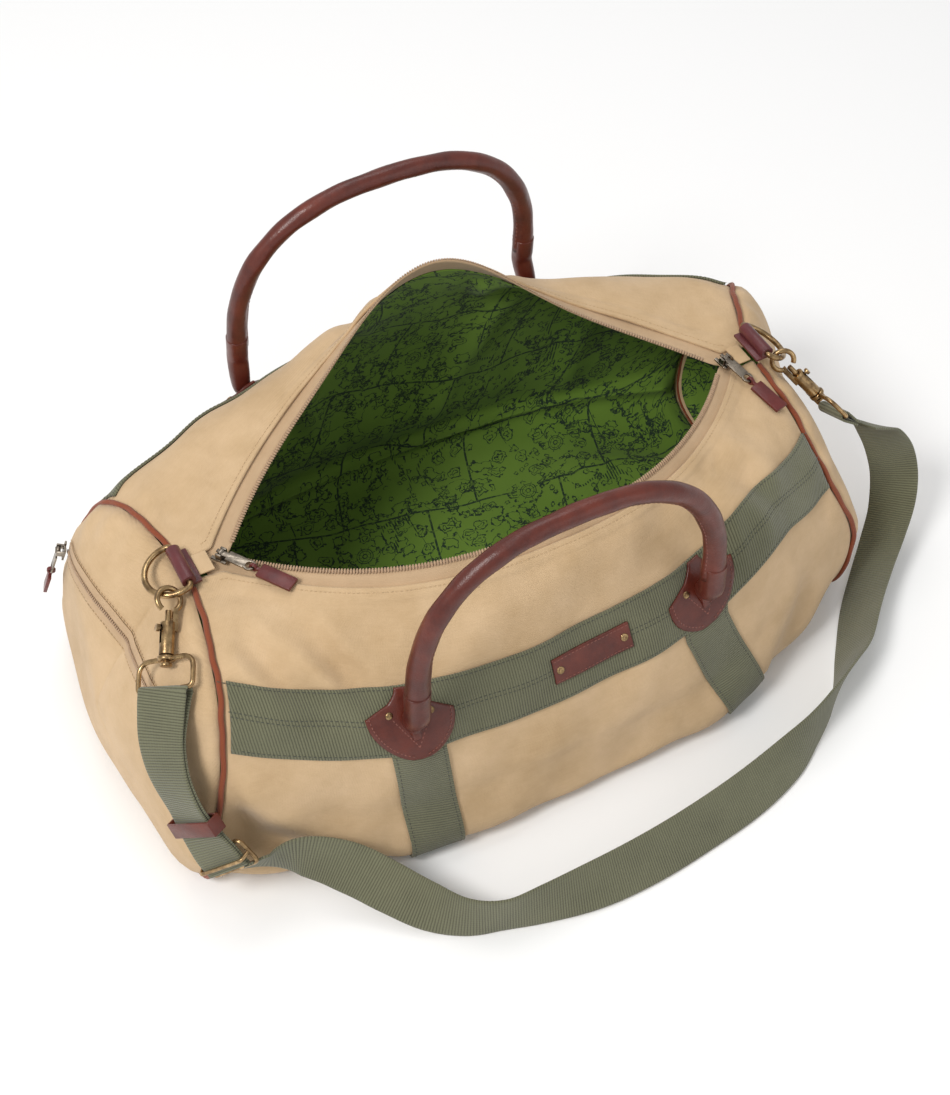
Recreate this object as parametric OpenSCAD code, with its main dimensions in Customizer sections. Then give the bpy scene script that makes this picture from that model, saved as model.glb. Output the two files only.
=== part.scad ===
// Open canvas duffel bag with leather handles and a clip-on shoulder strap.
// X runs along the bag, the front panel faces -Y, and Z = 0 is the surface it stands on.

/* [Bag body] */
// Distance from the bag's middle to each strap ring tab
top_half = 226; // [222:1:232]
// Distance from the bag's middle to each zip slider
mouth_half = 205; // [200:1:210]
// Thickness of the canvas
canvas_t = 1.2; // [1:0.1:1.4]
// Thickness of the lining cloth
lining_t = 0.6; // [0.4:0.1:0.8]

/* [Webbing] */
// Width of the band round the body
band_w = 50; // [44:1:54]
// Width of the shoulder strap and the straps under the body
strap_w = 38; // [34:1:40]
// Thickness of the webbing
web_t = 1.8; // [1.4:0.1:1.8]

/* [Handles] */
// Distance between the two ends of the front handle
handle_span = 228; // [220:1:238]
// Distance between the two ends of the back handle
back_span = 240; // [230:1:248]
// Height of a handle above its hinge line
handle_rise = 146; // [130:1:156]
// Radius of the rolled leather grip
grip_r = 8; // [7:0.5:9]

/* [Hardware] */
// Wire radius of the strap rings
ring_wire = 2.25; // [2:0.05:2.4]
// Bend radius of the strap rings
ring_r = 20; // [19:0.5:21]
// Radial clearance of the ring in its leather tab
ring_play = 0.08; // [0.05:0.01:0.1]

/* [Hidden] */

canvas = "#d6b88c";
olive = "#646955";
leather = "#6e2d23";
rust = "#964b2d";
brass = "#8c6e41";
gunmetal = "#6e695f";
tape_tan = "#c8a582";
green = "#5a782d";

floor_z = canvas_t + 0.5 + web_t;        // lowest height of the sewn surface
front_x = -19;                           // middle of the front handle
back_x = -2;                             // middle of the back handle
under_x = [-134, 130];                   // middles of the straps under the body, at the feet
web_in = canvas_t + 0.5;                 // webbing starts this far outside the sewn surface
web_out = web_in + web_t;
peak_x = 14;                             // where the back edge of the mouth stands highest

// The sewn body surface: one row of numbers for each line that runs from end to end.
// Each row: left end [x, y, z], middle [y, z], right end [x, y, z], fullness power.
BODY = [
    [[-top_half, -1, 172], [-96, 184], [top_half, -1, 170], 2.6],     // front edge of the mouth
    [[-236, -62, 168], [-126, 152], [228, -50, 158], 2.4],
    [[-248, -104, 144], [-156, 108], [236, -95, 122], 2.6],           // middle of the front band
    [[-268, -128, 78], [-176, 50], [258, -116, 62], 2.4],
    [[-286, -122, 8], [-178, 6], [240, -112, 14], 2.4],               // front foot
    [[-300, 0, 3], [0, 3], [246, 0, 3], 2.0],                         // middle of the bottom
    [[-290, 122, 10], [156, 6], [246, 104, 14], 2.4],                 // back foot
    [[-276, 132, 78], [168, 66], [262, 122, 72], 2.2],
    [[-256, 102, 152], [156, 160], [268, 90, 146], 2.2],              // middle of the back band
    [[-240, 60, 176], [136, 214], [248, 54, 172], 2.4],
    [[-top_half, 1, 172], [112, 260], [top_half, 1, 170], 2.2]        // back edge of the mouth
];

function bell(x, mid, wide) = exp(-pow((x - mid) / wide, 2));
function mix(a, b, t) = a + (b - a) * t;
function unit(v) = v / norm(v);
function spline(a, b, c, d, t) =
    0.5 * (2 * b + (c - a) * t + (2 * a - 5 * b + 4 * c - d) * t * t + (3 * b - a - 3 * c + d) * t * t * t);
function span(a, b, n) = [for (i = [0:n]) a + (b - a) * i / n];

// Extra height of a line: the raised back edge, and a swell in the front beside the right handle.
function swell(k, x) =
    k == 1 ? 12 * bell(x, 165, 45) : k == 2 ? 24 * bell(x, 165, 45) : k == 3 ? 16 * bell(x, 165, 45) : 0;
function line_z(k, x, w, end_z, mid_z) =
    k == 10 ? end_z + 22 * w + (mid_z - end_z - 22) * bell(x, peak_x, 84)
    : k == 9 ? end_z + 20 * w + (mid_z - end_z - 20) * bell(x, peak_x + 6, 95)
    : mix(end_z, mid_z, w) + (w > 0 ? swell(k, x) : 0);
function line_at(k, u) =
    let (r = BODY[k], e = u < 0 ? r[0] : r[2], x = abs(u) * e[0],
        s = (k == 0 || k == 10) ? min(1, abs(x) / mouth_half) : abs(u),
        w = 1 - pow(s, r[3]))
    [x, mix(e[1], r[1][0], w), line_z(k, x, w, e[2], r[1][1])];

// Point of the sewn surface: u runs -1 to 1 from end to end, v runs 0 to 10 from front edge to back edge.
function skin_at(u, v) =
    let (k = min(floor(v), 9), t = v - k, b = line_at(k, u), c = line_at(k + 1, u),
        a = k == 0 ? 2 * b - c : line_at(k - 1, u), d = k == 9 ? 2 * c - b : line_at(k + 2, u),
        p = spline(a, b, c, d, t))
    [p[0], p[1], max(p[2], floor_z)];
function skin_normal(u, v) =
    let (h = 0.02, u0 = max(-1, u - h), u1 = min(1, u + h), v0 = max(0, v - h), v1 = min(10, v + h))
    unit(cross(skin_at(u, v1) - skin_at(u, v0), skin_at(u1, v) - skin_at(u0, v)));
function skin_out(u, v, d) = skin_at(u, v) + d * skin_normal(u, v);

// The puffed end panels: side is -1 or 1, r runs 0 to 1 from the middle to the piping.
function dome_mid(side) = [side < 0 ? -278 : 254, 0, 72];
function dome_puff(side, z) = (side < 0 ? 25 : 22) + 0.065 * z;
function dome_at(side, r, v) =
    let (e = skin_at(side, v), c = dome_mid(side), p = mix(c, e, r))
    [p[0] + side * dome_puff(side, p[2]) * pow(max(0, 1 - r * r), 0.45), p[1], max(p[2], floor_z)];
function dome_normal(side, r, v) =
    let (h = 0.02, r0 = max(0.02, r - h), r1 = min(1, r + h), v0 = max(0, v - h), v1 = min(10, v + h))
    side * unit(cross(dome_at(side, r1, v) - dome_at(side, r0, v), dome_at(side, r, v1) - dome_at(side, r, v0)));
function dome_out(side, r, v, d) = dome_at(side, r, v) + d * dome_normal(side, r, v);

// u of a point x millimetres along the body on line v
function end_x(side, v) = abs(skin_at(side, v)[0]);
function u_of(x, v) = x / end_x(x < 0 ? -1 : 1, v);

// Closed slab from two matching grids of points, inner and outer
module slab(inner, outer) {
    n = len(inner);
    m = len(inner[0]);
    all = n * m;
    points = concat([for (row = inner) each row], [for (row = outer) each row]);
    faces = concat(
        [for (i = [0:n - 2]) for (j = [0:m - 2]) [i * m + j, i * m + j + 1, (i + 1) * m + j + 1]],
        [for (i = [0:n - 2]) for (j = [0:m - 2]) [i * m + j, (i + 1) * m + j + 1, (i + 1) * m + j]],
        [for (i = [0:n - 2]) for (j = [0:m - 2]) [all + i * m + j, all + (i + 1) * m + j + 1, all + i * m + j + 1]],
        [for (i = [0:n - 2]) for (j = [0:m - 2]) [all + i * m + j, all + (i + 1) * m + j, all + (i + 1) * m + j + 1]],
        [for (j = [0:m - 2]) [j, all + j, all + j + 1, j + 1]],
        [for (j = [0:m - 2]) [(n - 1) * m + j, (n - 1) * m + j + 1, all + (n - 1) * m + j + 1, all + (n - 1) * m + j]],
        [for (i = [0:n - 2]) [i * m, (i + 1) * m, all + (i + 1) * m, all + i * m]],
        [for (i = [0:n - 2]) [i * m + m - 1, all + i * m + m - 1, all + (i + 1) * m + m - 1, (i + 1) * m + m - 1]]
    );
    polyhedron(points, faces, convexity = 8);
}

// Slab of the sewn surface over lists of u and v, from d0 to d1 outside it
module skin_slab(us, vs, d0, d1)
    slab([for (v = vs) [for (u = us) skin_out(u, v, d0)]], [for (v = vs) [for (u = us) skin_out(u, v, d1)]]);

// Closed slab of an end panel out to radius r1
module dome_slab(side, d0, d1, r1) {
    vs = span(0, 9.999, 30);
    rs = [for (f = [0.25, 0.5, 0.7, 0.84, 0.93, 1]) f * r1];
    m = len(vs);
    n = len(rs);
    ring = function (d) [for (r = rs) each [for (v = vs) dome_out(side, r, v, d)]];
    tip = function (d) dome_mid(side) + [side * (dome_puff(side, dome_mid(side)[2]) + d), 0, 0];
    points = concat(ring(d0), ring(d1), [tip(d0), tip(d1)]);
    all = n * m;
    near = concat(
        [for (i = [0:n - 2]) for (j = [0:m - 1]) let (k = (j + 1) % m) [i * m + j, i * m + k, (i + 1) * m + k]],
        [for (i = [0:n - 2]) for (j = [0:m - 1]) let (k = (j + 1) % m) [i * m + j, (i + 1) * m + k, (i + 1) * m + j]],
        [for (j = [0:m - 1]) let (k = (j + 1) % m) [2 * all, k, j]]);
    far = [for (f = near) [for (p = [2:-1:0]) f[p] == 2 * all ? 2 * all + 1 : f[p] + all]];
    edge = [for (j = [0:m - 1]) let (k = (j + 1) % m, e = (n - 1) * m) [e + j, e + k, all + e + k, all + e + j]];
    faces = concat(near, far, edge);
    polyhedron(points, side > 0 ? faces : [for (f = faces) [for (p = [len(f) - 1:-1:0]) f[p]]], convexity = 6);
}

// Tube or ribbon through rings of points, closed at both ends
module sweep(rings) {
    n = len(rings);
    m = len(rings[0]);
    faces = concat(
        [for (i = [0:n - 2]) for (j = [0:m - 1]) let (k = (j + 1) % m) [i * m + j, (i + 1) * m + k, i * m + k]],
        [for (i = [0:n - 2]) for (j = [0:m - 1]) let (k = (j + 1) % m) [i * m + j, (i + 1) * m + j, (i + 1) * m + k]],
        [[for (j = [0:m - 1]) j]],
        [[for (j = [m - 1:-1:0]) (n - 1) * m + j]]);
    polyhedron([for (r = rings) each r], faces, convexity = 10);
}

// Hollow tube between outer rings and inner rings, open at both ends
module sleeve(outer, inner) {
    n = len(outer);
    m = len(outer[0]);
    all = n * m;
    wall = concat(
        [for (i = [0:n - 2]) for (j = [0:m - 1]) let (k = (j + 1) % m) [i * m + j, (i + 1) * m + k, i * m + k]],
        [for (i = [0:n - 2]) for (j = [0:m - 1]) let (k = (j + 1) % m) [i * m + j, (i + 1) * m + j, (i + 1) * m + k]]);
    bore = [for (f = wall) [f[2] + all, f[1] + all, f[0] + all]];
    ends = concat([for (j = [0:m - 1]) let (k = (j + 1) % m) [j, k, all + k, all + j]],
        [for (j = [0:m - 1]) let (k = (j + 1) % m, e = all - m) [e + k, e + j, all + e + j, all + e + k]]);
    polyhedron(concat([for (r = outer) each r], [for (r = inner) each r]), concat(wall, bore, ends), convexity = 10);
}

function tangent(path, i) = unit(path[min(i + 1, len(path) - 1)] - path[max(i - 1, 0)]);
// Round tube rings; side is a direction never parallel to the path
function tube_rings(path, r, sides, side) =
    [for (i = [0:len(path) - 1]) let (t = tangent(path, i), a = unit(cross(t, side)), b = cross(a, t))
        [for (j = [0:sides - 1]) path[i] + r * (cos(360 * j / sides) * a + sin(360 * j / sides) * b)]];
// Ribbon rings; wide holds the width direction at each point, lift moves the ribbon off the path
function ribbon_rings(path, wide, w, t, lift = 0, cols = 1) =
    [for (i = [0:len(path) - 1])
        let (d = tangent(path, i), face = unit(cross(d, wide[i])), across = cross(face, d), c = path[i] + lift * face)
        concat([for (s = [0:cols]) c + across * w * (s / cols - 0.5) - face * t / 2],
            [for (s = [cols:-1:0]) c + across * w * (s / cols - 0.5) + face * t / 2])];
// Smooth list through hand-placed points, with n steps between neighbours
function smooth(p, n) = let (e = len(p) - 1)
    [for (i = [0:e - 1]) each
        [for (s = [0:n - (i == e - 1 ? 0 : 1)])
            spline(p[max(i - 1, 0)], p[i], p[i + 1], p[min(i + 2, e)], s / n)]];

// Right-handed frame: origin at p, local Z along z, local X near x
module frame_at(p, z, x) {
    k = unit(z);
    j = unit(cross(k, x));
    i = cross(j, k);
    multmatrix([[i[0], j[0], k[0], p[0]], [i[1], j[1], k[1], p[1]], [i[2], j[2], k[2], p[2]], [0, 0, 0, 1]])
        children();
}

// ---- Canvas, lining and webbing ----

U_BODY = concat([-0.994, -0.97], span(-0.92, 0.92, 24), [0.97, 0.994]);
tape_v = 0.12;                           // the canvas is folded back this far from the zip's edge

module front_panel() color(canvas) skin_slab(U_BODY, concat([tape_v], span(0.4, 3.9, 12)), 0, canvas_t);
module bottom_panel() color(canvas) skin_slab(U_BODY, span(3.93, 6.07, 8), 0, canvas_t);
module back_panel() color(canvas) skin_slab(U_BODY, concat(span(6.1, 9.6, 12), [10 - tape_v]), 0, canvas_t);
module end_panel(side) color(canvas) dome_slab(side, 0, canvas_t, 0.985);
module left_end_panel() end_panel(-1);
module right_end_panel() end_panel(1);

lining_out = -2.6;                       // lining face nearest the canvas, behind the zip tape
module lining() color(green) {
    us = span(-0.96, 0.96, 20);
    skin_slab(us, concat(span(0.45, 3.5, 7), span(3.75, 6.25, 12), span(6.5, 9.55, 7)), lining_out - lining_t, lining_out);
    for (side = [-1, 1]) dome_slab(side, lining_out - lining_t, lining_out, 0.93);
}

piping_r = 2.2;
function piping_point(side, v) =
    let (p = skin_at(side, v) + 2.3 * (skin_normal(side, v) + [side, 0, 0])) [p[0], p[1], max(p[2], piping_r + 0.1)];
module piping(side) color(rust)
    sweep(tube_rings([for (v = span(0.35, 9.65, 44)) piping_point(side, v)], piping_r, 6, [side, 0, 0]));
module left_piping() piping(-1);
module right_piping() piping(1);

// The front band climbs this far above line 2, more towards the right
function climb(x, v0) = v0 > 5 ? 0 : let (t = min(1, max(0, (x + 100) / 200))) 6 + 8 * t * t * (3 - 2 * t);
// v of a point b millimetres below the middle of the band at line v0
function v_down(x, v0, b) = let (u = u_of(x, v0), way = v0 < 5 ? 1 : -1,
    step = norm(skin_at(u, v0 + 0.5) - skin_at(u, v0 - 0.5))) v0 + way * (b - climb(x, v0)) / step;
module band(v0) color(olive) {
    us = concat([-0.985], span(-0.94, 0.94, 24), [0.985]);
    rows = [for (s = span(-1, 1, 4)) [for (u = us) let (x = u * 245) [u, v_down(x, v0, s * band_w / 2)]]];
    flip = v0 < 5 ? rows : [for (i = [len(rows) - 1:-1:0]) rows[i]];
    slab([for (r = flip) [for (p = r) skin_out(p[0], p[1], web_in)]],
        [for (r = flip) [for (p = r) skin_out(p[0], p[1], web_out)]]);
}
module front_band() band(2);
module back_band() band(8);

// Places of the handle ends: x of the left and of the right one
front_post = [front_x - handle_span / 2, front_x + handle_span / 2];
back_post = [back_x - back_span / 2, back_x + back_span / 2];
function posts(v0) = v0 < 5 ? front_post : back_post;

// Strap from the front band to the back band: below the handle ends above, over the feet at x_low below
function under_mid(i, x_low, v) = mix(posts(v)[i], x_low, min(1, max(0, 1 - (abs(v - 5) - 1) / 1.7)));
module under_strap(i, x_low) color(olive) {
    v0 = v_down(front_post[i], 2, band_w / 2 + 1.5);
    v1 = v_down(back_post[i], 8, band_w / 2 + 1.5);
    ds = span(-strap_w / 2, strap_w / 2, 2);
    grid = function (lift) [for (v = span(v0, v1, 36)) let (x = under_mid(i, x_low, v))
        [for (d = ds) skin_out(u_of(x + d, v), v, lift)]];
    slab(grid(web_in), grid(web_out));
}
module left_under_strap() under_strap(0, under_x[0]);
module right_under_strap() under_strap(1, under_x[1]);

// ---- Handles and their leather chapes ----

chape_in = web_out + 0.2;
chape_t = 1.8;
chape_top = -24;                         // upper edge, from the band's middle
chape_low = 28;                          // lower edge
// Half width of the shield outline, b millimetres below the band's middle
function chape_half(b) = b < -12 ? mix(11, 13, (b - chape_top) / 12)
    : b < -3 ? mix(13, 30, (b + 12) / 9) : 30 * pow(max(0.02, 1 - pow((b + 3) / 31, 2.3)), 0.55);
module chape(x, v0) color(leather) {
    bs = [chape_top, -18, -12, -7.5, -3, 4, 11, 18, 23, 26, chape_low];
    rows = [for (b = bs) [for (s = [-1, -0.5, 0, 0.5, 1]) let (a = x + s * chape_half(b), v = v_down(a, v0, b))
        [u_of(a, v), v]]];
    flip = v0 < 5 ? rows : [for (i = [len(rows) - 1:-1:0]) rows[i]];
    slab([for (r = flip) [for (p = r) skin_out(p[0], p[1], chape_in)]],
        [for (r = flip) [for (p = r) skin_out(p[0], p[1], chape_in + chape_t)]]);
}
module left_front_chape() chape(front_post[0], 2);
module right_front_chape() chape(front_post[1], 2);
module left_back_chape() chape(back_post[0], 8);
module right_back_chape() chape(back_post[1], 8);

// Hinge lines of the handles: y, z, middle x, span, and how much higher the right end is
front_hinge = [-157, 134, front_x, handle_span, 14];
back_hinge = [161, 180, back_x, back_span, 0];
back_lean = 7;                           // the back handle leans this far towards the mouth
// The grip's arch: an upright superellipse over straight posts
arch_n = 2.5;
function arch_point(hinge, a) =
    [hinge[2] - hinge[3] / 2 * sign(cos(a)) * pow(abs(cos(a)), 2 / arch_n), hinge[0],
        hinge[1] + 20 + (handle_rise - 20) * pow(sin(a), 2 / arch_n)];
function grip_path(hinge) = concat([[hinge[2] - hinge[3] / 2, hinge[0], hinge[1]]],
    [for (a = [0, 8, each span(16, 164, 22), 172, 180]) arch_point(hinge, a)],
    [[hinge[2] + hinge[3] / 2, hinge[0], hinge[1] + hinge[4]]]);
sleeve_t = 1.8;
module grip(hinge) color(leather)
    sleeve(tube_rings(grip_path(hinge), grip_r, 12, [0, 1, 0]),
        tube_rings(grip_path(hinge), grip_r - sleeve_t, 12, [0, 1, 0]));
module front_handle() grip(front_hinge);
module lean_back() translate([0, back_hinge[0], back_hinge[1]]) rotate([back_lean, 0, 0])
    translate([0, -back_hinge[0], -back_hinge[1]]) children();
module back_handle() lean_back() grip(back_hinge);
module grip_core(hinge) color("#b9a27c")
    sweep(tube_rings(grip_path(hinge), grip_r - sleeve_t - 0.3, 8, [0, 1, 0]));
module front_handle_core() grip_core(front_hinge);
module back_handle_core() lean_back() grip_core(back_hinge);

// Domed rivet head standing on a leather piece at millimetres (x, b) from line v0
module rivet(x, v0, b, r, lift) {
    v = v_down(x, v0, b);
    u = u_of(x, v);
    frame_at(skin_out(u, v, lift), skin_normal(u, v), [1, 0, 0]) {
        cylinder(r = r, h = 0.8, $fn = 32);
        translate([0, 0, 0.8]) cylinder(r1 = r, r2 = r * 0.55, h = 0.7, $fn = 32);
    }
}
rivet_r = 2.4;
module chape_rivets(v0) color(brass)
    for (x = posts(v0)) for (dx = [-14, 14]) rivet(x + dx, v0, -5, rivet_r, chape_in + chape_t + 0.25);
module front_handle_rivets() chape_rivets(2);
module back_handle_rivets() chape_rivets(8);

patch_x = 2;
patch_w = 62;
patch_h = 20;
module label_patch() color(leather) {
    rows = [for (b = span(-patch_h / 2, patch_h / 2, 2)) [for (a = span(patch_x - patch_w / 2, patch_x + patch_w / 2, 4))
        let (v = v_down(a, 2, b)) [u_of(a, v), v]]];
    slab([for (r = rows) [for (p = r) skin_out(p[0], p[1], chape_in)]],
        [for (r = rows) [for (p = r) skin_out(p[0], p[1], chape_in + chape_t)]]);
}
module label_rivets() color(brass)
    for (dx = [-26, 26]) rivet(patch_x + dx, 2, 0, 2.2, chape_in + chape_t + 0.25);

// ---- Mouth zip ----

tape_half = mouth_half / top_half;
module zip_tape(v0, v1) color(tape_tan) skin_slab(span(-0.95, 0.95, 28), span(v0, v1, 3), -2.2, -1.3);
module front_zip_tape() zip_tape(0.02, 0.3);
module back_zip_tape() zip_tape(9.75, 9.98);
coil_r = 1.1;
module zip_coil(v, way) color(tape_tan)
    sweep(tube_rings([for (u = span(-tape_half + 0.03, tape_half - 0.03, 30)) skin_out(u, v, -1.75) + [0, way * 1.8, 0.6]],
        coil_r, 6, [0, 0, 1]));
module front_zip_coil() zip_coil(0.02, 1);
module back_zip_coil() zip_coil(9.98, -1);

// Small canvas tab sewn across the end of the zip
module zip_end_tab(side) color(canvas)
    translate([side * (top_half - 9.5), 0, side < 0 ? 175.5 : 174]) translate([-5.5, -9, 0]) cube([11, 18, 1.4]);
module left_zip_end_tab() zip_end_tab(-1);
module right_zip_end_tab() zip_end_tab(1);

// Zip slider in its own frame: it travels along X, its face is +Z
pivot_h = 5.2;                           // height of the puller's pin above the slider's origin
pin_r = 0.8;
module slider_body() color(gunmetal) {
    difference() {
        translate([-6, -4.5, 0]) cube([12, 9, 1.4]);
        translate([-7, -2, -1]) cube([3, 4, 4]);
    }
    for (y = [-3.4, 3.4]) translate([-2.2, y - 0.7, 1.4]) cube([4.4, 1.4, 5]);
    translate([0, -3.4, pivot_h]) rotate([-90, 0, 0]) cylinder(r = pin_r, h = 6.8, $fn = 32);
}
// Puller plate lying towards +X from its pin, with a ring at its far end
puller_l = 24;
module puller_plate() color(gunmetal) translate([0, 0, pivot_h]) {
    rotate([90, 0, 0]) translate([0, 0, -2]) difference() {
        cylinder(r = 2, h = 4, $fn = 32);
        translate([0, 0, -1]) cylinder(r = pin_r + 0.08, h = 6, $fn = 32);
    }
    translate([1.8, -2, -0.7]) cube([4, 4, 1.4]);
    translate([5.6, -4, -0.7]) cube([puller_l - 5.6 - 4, 8, 1.4]);
    translate([puller_l - 1, 0, -0.7]) difference() {
        cylinder(r = 4.4, h = 1.4, $fn = 48);
        translate([0, 0, -1]) cylinder(r = 2.6, h = 4, $fn = 48);
    }
}
// Leather tab on the puller's ring, turning about the ring's far wall
tab_pin = puller_l + 2.6;
module leather_pull(w = 11, l = 32) color(leather) translate([tab_pin, 0, pivot_h]) {
    rotate([90, 0, 0]) translate([0, 0, -1.2]) difference() {
        cylinder(r = 3.2, h = 2.4, $fn = 32);
        translate([0, 0, -1]) cylinder(r = 1.7, h = 5, $fn = 32);
    }
    translate([2.8, -1.2, -1.3]) cube([2.4, 2.4, 2.6]);
    translate([5, -w / 2, -1.3]) cube([l - 5, w, 2.6]);
}

// Where the sliders stand and how their pullers lie: point, up, pull direction
left_slider = [[-mouth_half + 2, -1, 175], [0, 0, 1], [0.55, -0.84, 0]];
right_slider = [[mouth_half - 2, -1, 173.5], [0.06, -0.17, 1], [0.25, -0.95, -0.17]];
module puller_at(s) frame_at(s[0], s[1], s[2]) children();
module left_zip_slider() color(gunmetal) puller_at(left_slider) slider_body();
module left_zip_puller() puller_at(left_slider) puller_plate();
module left_zip_pull_tab() puller_at(left_slider) leather_pull();
module right_zip_slider() color(gunmetal) puller_at(right_slider) slider_body();
module right_zip_puller() puller_at(right_slider) puller_plate();
module right_zip_pull_tab() puller_at(right_slider) leather_pull();

// ---- Zipped pocket in the left end panel ----

pocket_r = [0.86, 0.7, 0.58, 0.55, 0.6, 0.7, 0.8];            // how far out the zip lies on the panel
pocket_v = [7.6, 8.1, 8.9, 10, 10.9, 11.7, 12.3];             // round the panel, past 10 is the front again
pocket_rs = smooth(pocket_r, 4);
pocket_vs = [for (v = smooth(pocket_v, 4)) v > 10 ? v - 10 : v];
function pocket_path(d) = [for (i = [0:len(pocket_rs) - 1]) dome_out(-1, pocket_rs[i], pocket_vs[i], d)];
function pocket_wide(path) = [for (i = [0:len(path) - 1])
    cross(dome_normal(-1, pocket_rs[i], pocket_vs[i]), tangent(path, i))];
module pocket_zip_tape() color(tape_tan) {
    path = pocket_path(canvas_t + 1.3);
    sweep(ribbon_rings(path, pocket_wide(path), 12, 0.8));
}
module pocket_zip_coil() color(tape_tan)
    sweep(tube_rings(pocket_path(canvas_t + 2.9), 0.9, 6, [0, 0.3, 1]));
pocket_slider = [dome_out(-1, pocket_r[0], pocket_v[0], canvas_t + 4.6), dome_normal(-1, pocket_r[0], pocket_v[0]), [0, 0.1, -1]];
module pocket_zip_slider() puller_at(pocket_slider) slider_body();
module pocket_zip_puller() puller_at(pocket_slider) puller_plate();
module pocket_zip_pull_tab() puller_at(pocket_slider) leather_pull(9, 24);
module pocket_liner() color(green) dome_slab(-1, -8.6, -7.8, 0.62);

// ---- Strap rings and their tabs ----

tab_half = 15.5;                         // half length of the leather roll
ring_leg = 6;
bar_x = 231.5;
bar_z = [181.5, 182.5];                   // left, right
ring_tilt = [12, 33];                    // how far below level each ring lies on its end panel
function pick(pair, side) = side < 0 ? pair[0] : pair[1];
module ring_tab(side) color(leather) translate([side * bar_x, 0, pick(bar_z, side)]) difference() {
    union() {
        rotate([90, 0, 0]) cylinder(r = 5, h = 2 * tab_half, center = true, $fn = 48);
        translate([side * -5 - 4, -tab_half, -5]) cube([8, 2 * tab_half, 2]);
    }
    rotate([90, 0, 0]) cylinder(r = ring_wire + ring_play, h = 60, center = true, $fn = 48);
}
module left_ring_tab() ring_tab(-1);
module right_ring_tab() ring_tab(1);
module d_ring(side) color(brass) translate([side * bar_x, 0, pick(bar_z, side)])
    rotate([0, side * pick(ring_tilt, side), 0])
    mirror([side < 0 ? 1 : 0, 0, 0]) {
        rotate([90, 0, 0]) cylinder(r = ring_wire, h = 2 * ring_r + 2 * ring_wire, center = true, $fn = 48);
        for (y = [-ring_r, ring_r])
            translate([0, y, 0]) rotate([0, 90, 0]) cylinder(r = ring_wire - 0.15, h = ring_leg, $fn = 48);
        translate([ring_leg, 0, 0]) rotate([0, 0, -90])
            rotate_extrude(angle = 180, $fn = 96) translate([ring_r, 0]) circle(r = ring_wire - 0.15, $fn = 48);
    }
module left_d_ring() d_ring(-1);
module right_d_ring() d_ring(1);

// ---- Swivel clips ----
// Clip in its own frame: eye centre at the origin, length along +Z, hook plane is XZ, strap width along Y.

eye_r = 8.2;                             // wire centre radius of the hook's eye
eye_wire = 2;
barrel_z = 16;
barrel_l = 22;
bolt_r = 2;
swivel_z = barrel_z + barrel_l;
loop_bar_z = 62;                         // strap bar, from the eye's centre
loop_in = strap_w + 3;                   // room for the webbing
module clip_hook() color(brass) {
    rotate([90, 0, 0]) rotate([0, 0, 124]) rotate_extrude(angle = 292, $fn = 64)
        translate([eye_r, 0]) circle(r = eye_wire, $fn = 32);
    translate([-6, -3, barrel_z - 10]) cube([3.6, 6, 11]);
    translate([0, 0, barrel_z]) difference() {
        union() {
            cylinder(r = 5, h = barrel_l, $fn = 48);
            translate([-6, -3.6, 0]) cube([6, 7.2, 6]);
        }
        translate([0, 0, -1]) cylinder(r = bolt_r + 0.6, h = barrel_l - 3, $fn = 48);
        translate([0, -1.6, 1.5]) cube([8, 3.2, 13]);
    }
    translate([0, 0, swivel_z - 0.5]) cylinder(r = 2.2, h = 6.5, $fn = 48);
    translate([0, 0, swivel_z + 6]) cylinder(r = 4, h = 1.8, $fn = 48);
}
bolt_travel = 6;
module clip_bolt() color(brass) {
    translate([0, 0, barrel_z - 8.5]) cylinder(r = bolt_r, h = 15.5, $fn = 48);
    translate([0, 0, barrel_z + 6.5]) cylinder(r = 1, h = 5, $fn = 32);
    translate([1.2, 0, barrel_z + 4.2]) rotate([0, 90, 0]) cylinder(r = 1.2, h = 5, $fn = 32);
    translate([6, 0, barrel_z + 4.2]) rotate([0, 90, 0]) cylinder(r = 2.6, h = 2.2, $fn = 32);
}
module clip_spring() color("silver") translate([0, 0, barrel_z + 13.3]) difference() {
    cylinder(r = 2.3, h = 4.5, $fn = 32);
    translate([0, 0, -1]) cylinder(r = 1.3, h = 12, $fn = 32);
}
module clip_loop() color(brass) {
    translate([0, 0, swivel_z + 1]) difference() {
        cylinder(r = 6, h = 3.4, $fn = 48);
        translate([0, 0, -1]) cylinder(r = 2.28, h = 6, $fn = 48);
    }
    z0 = swivel_z + 2.7;
    for (s = [-1, 1]) {
        translate([0, s * 5, z0]) rotate([-90 * s, 0, 0]) cylinder(r = 1.6, h = loop_in / 2 - 3.4, $fn = 32);
        translate([0, s * (loop_in / 2 + 1.6), z0]) sphere(r = 1.6, $fn = 32);
        translate([0, s * (loop_in / 2 + 1.6), z0]) cylinder(r = 1.6, h = loop_bar_z - z0, $fn = 32);
        translate([0, s * (loop_in / 2 + 1.6), loop_bar_z]) sphere(r = 1.6, $fn = 32);
    }
    translate([0, 0, loop_bar_z]) rotate([90, 0, 0]) cylinder(r = 1.6, h = loop_in + 3.2, center = true, $fn = 32);
}
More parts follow.
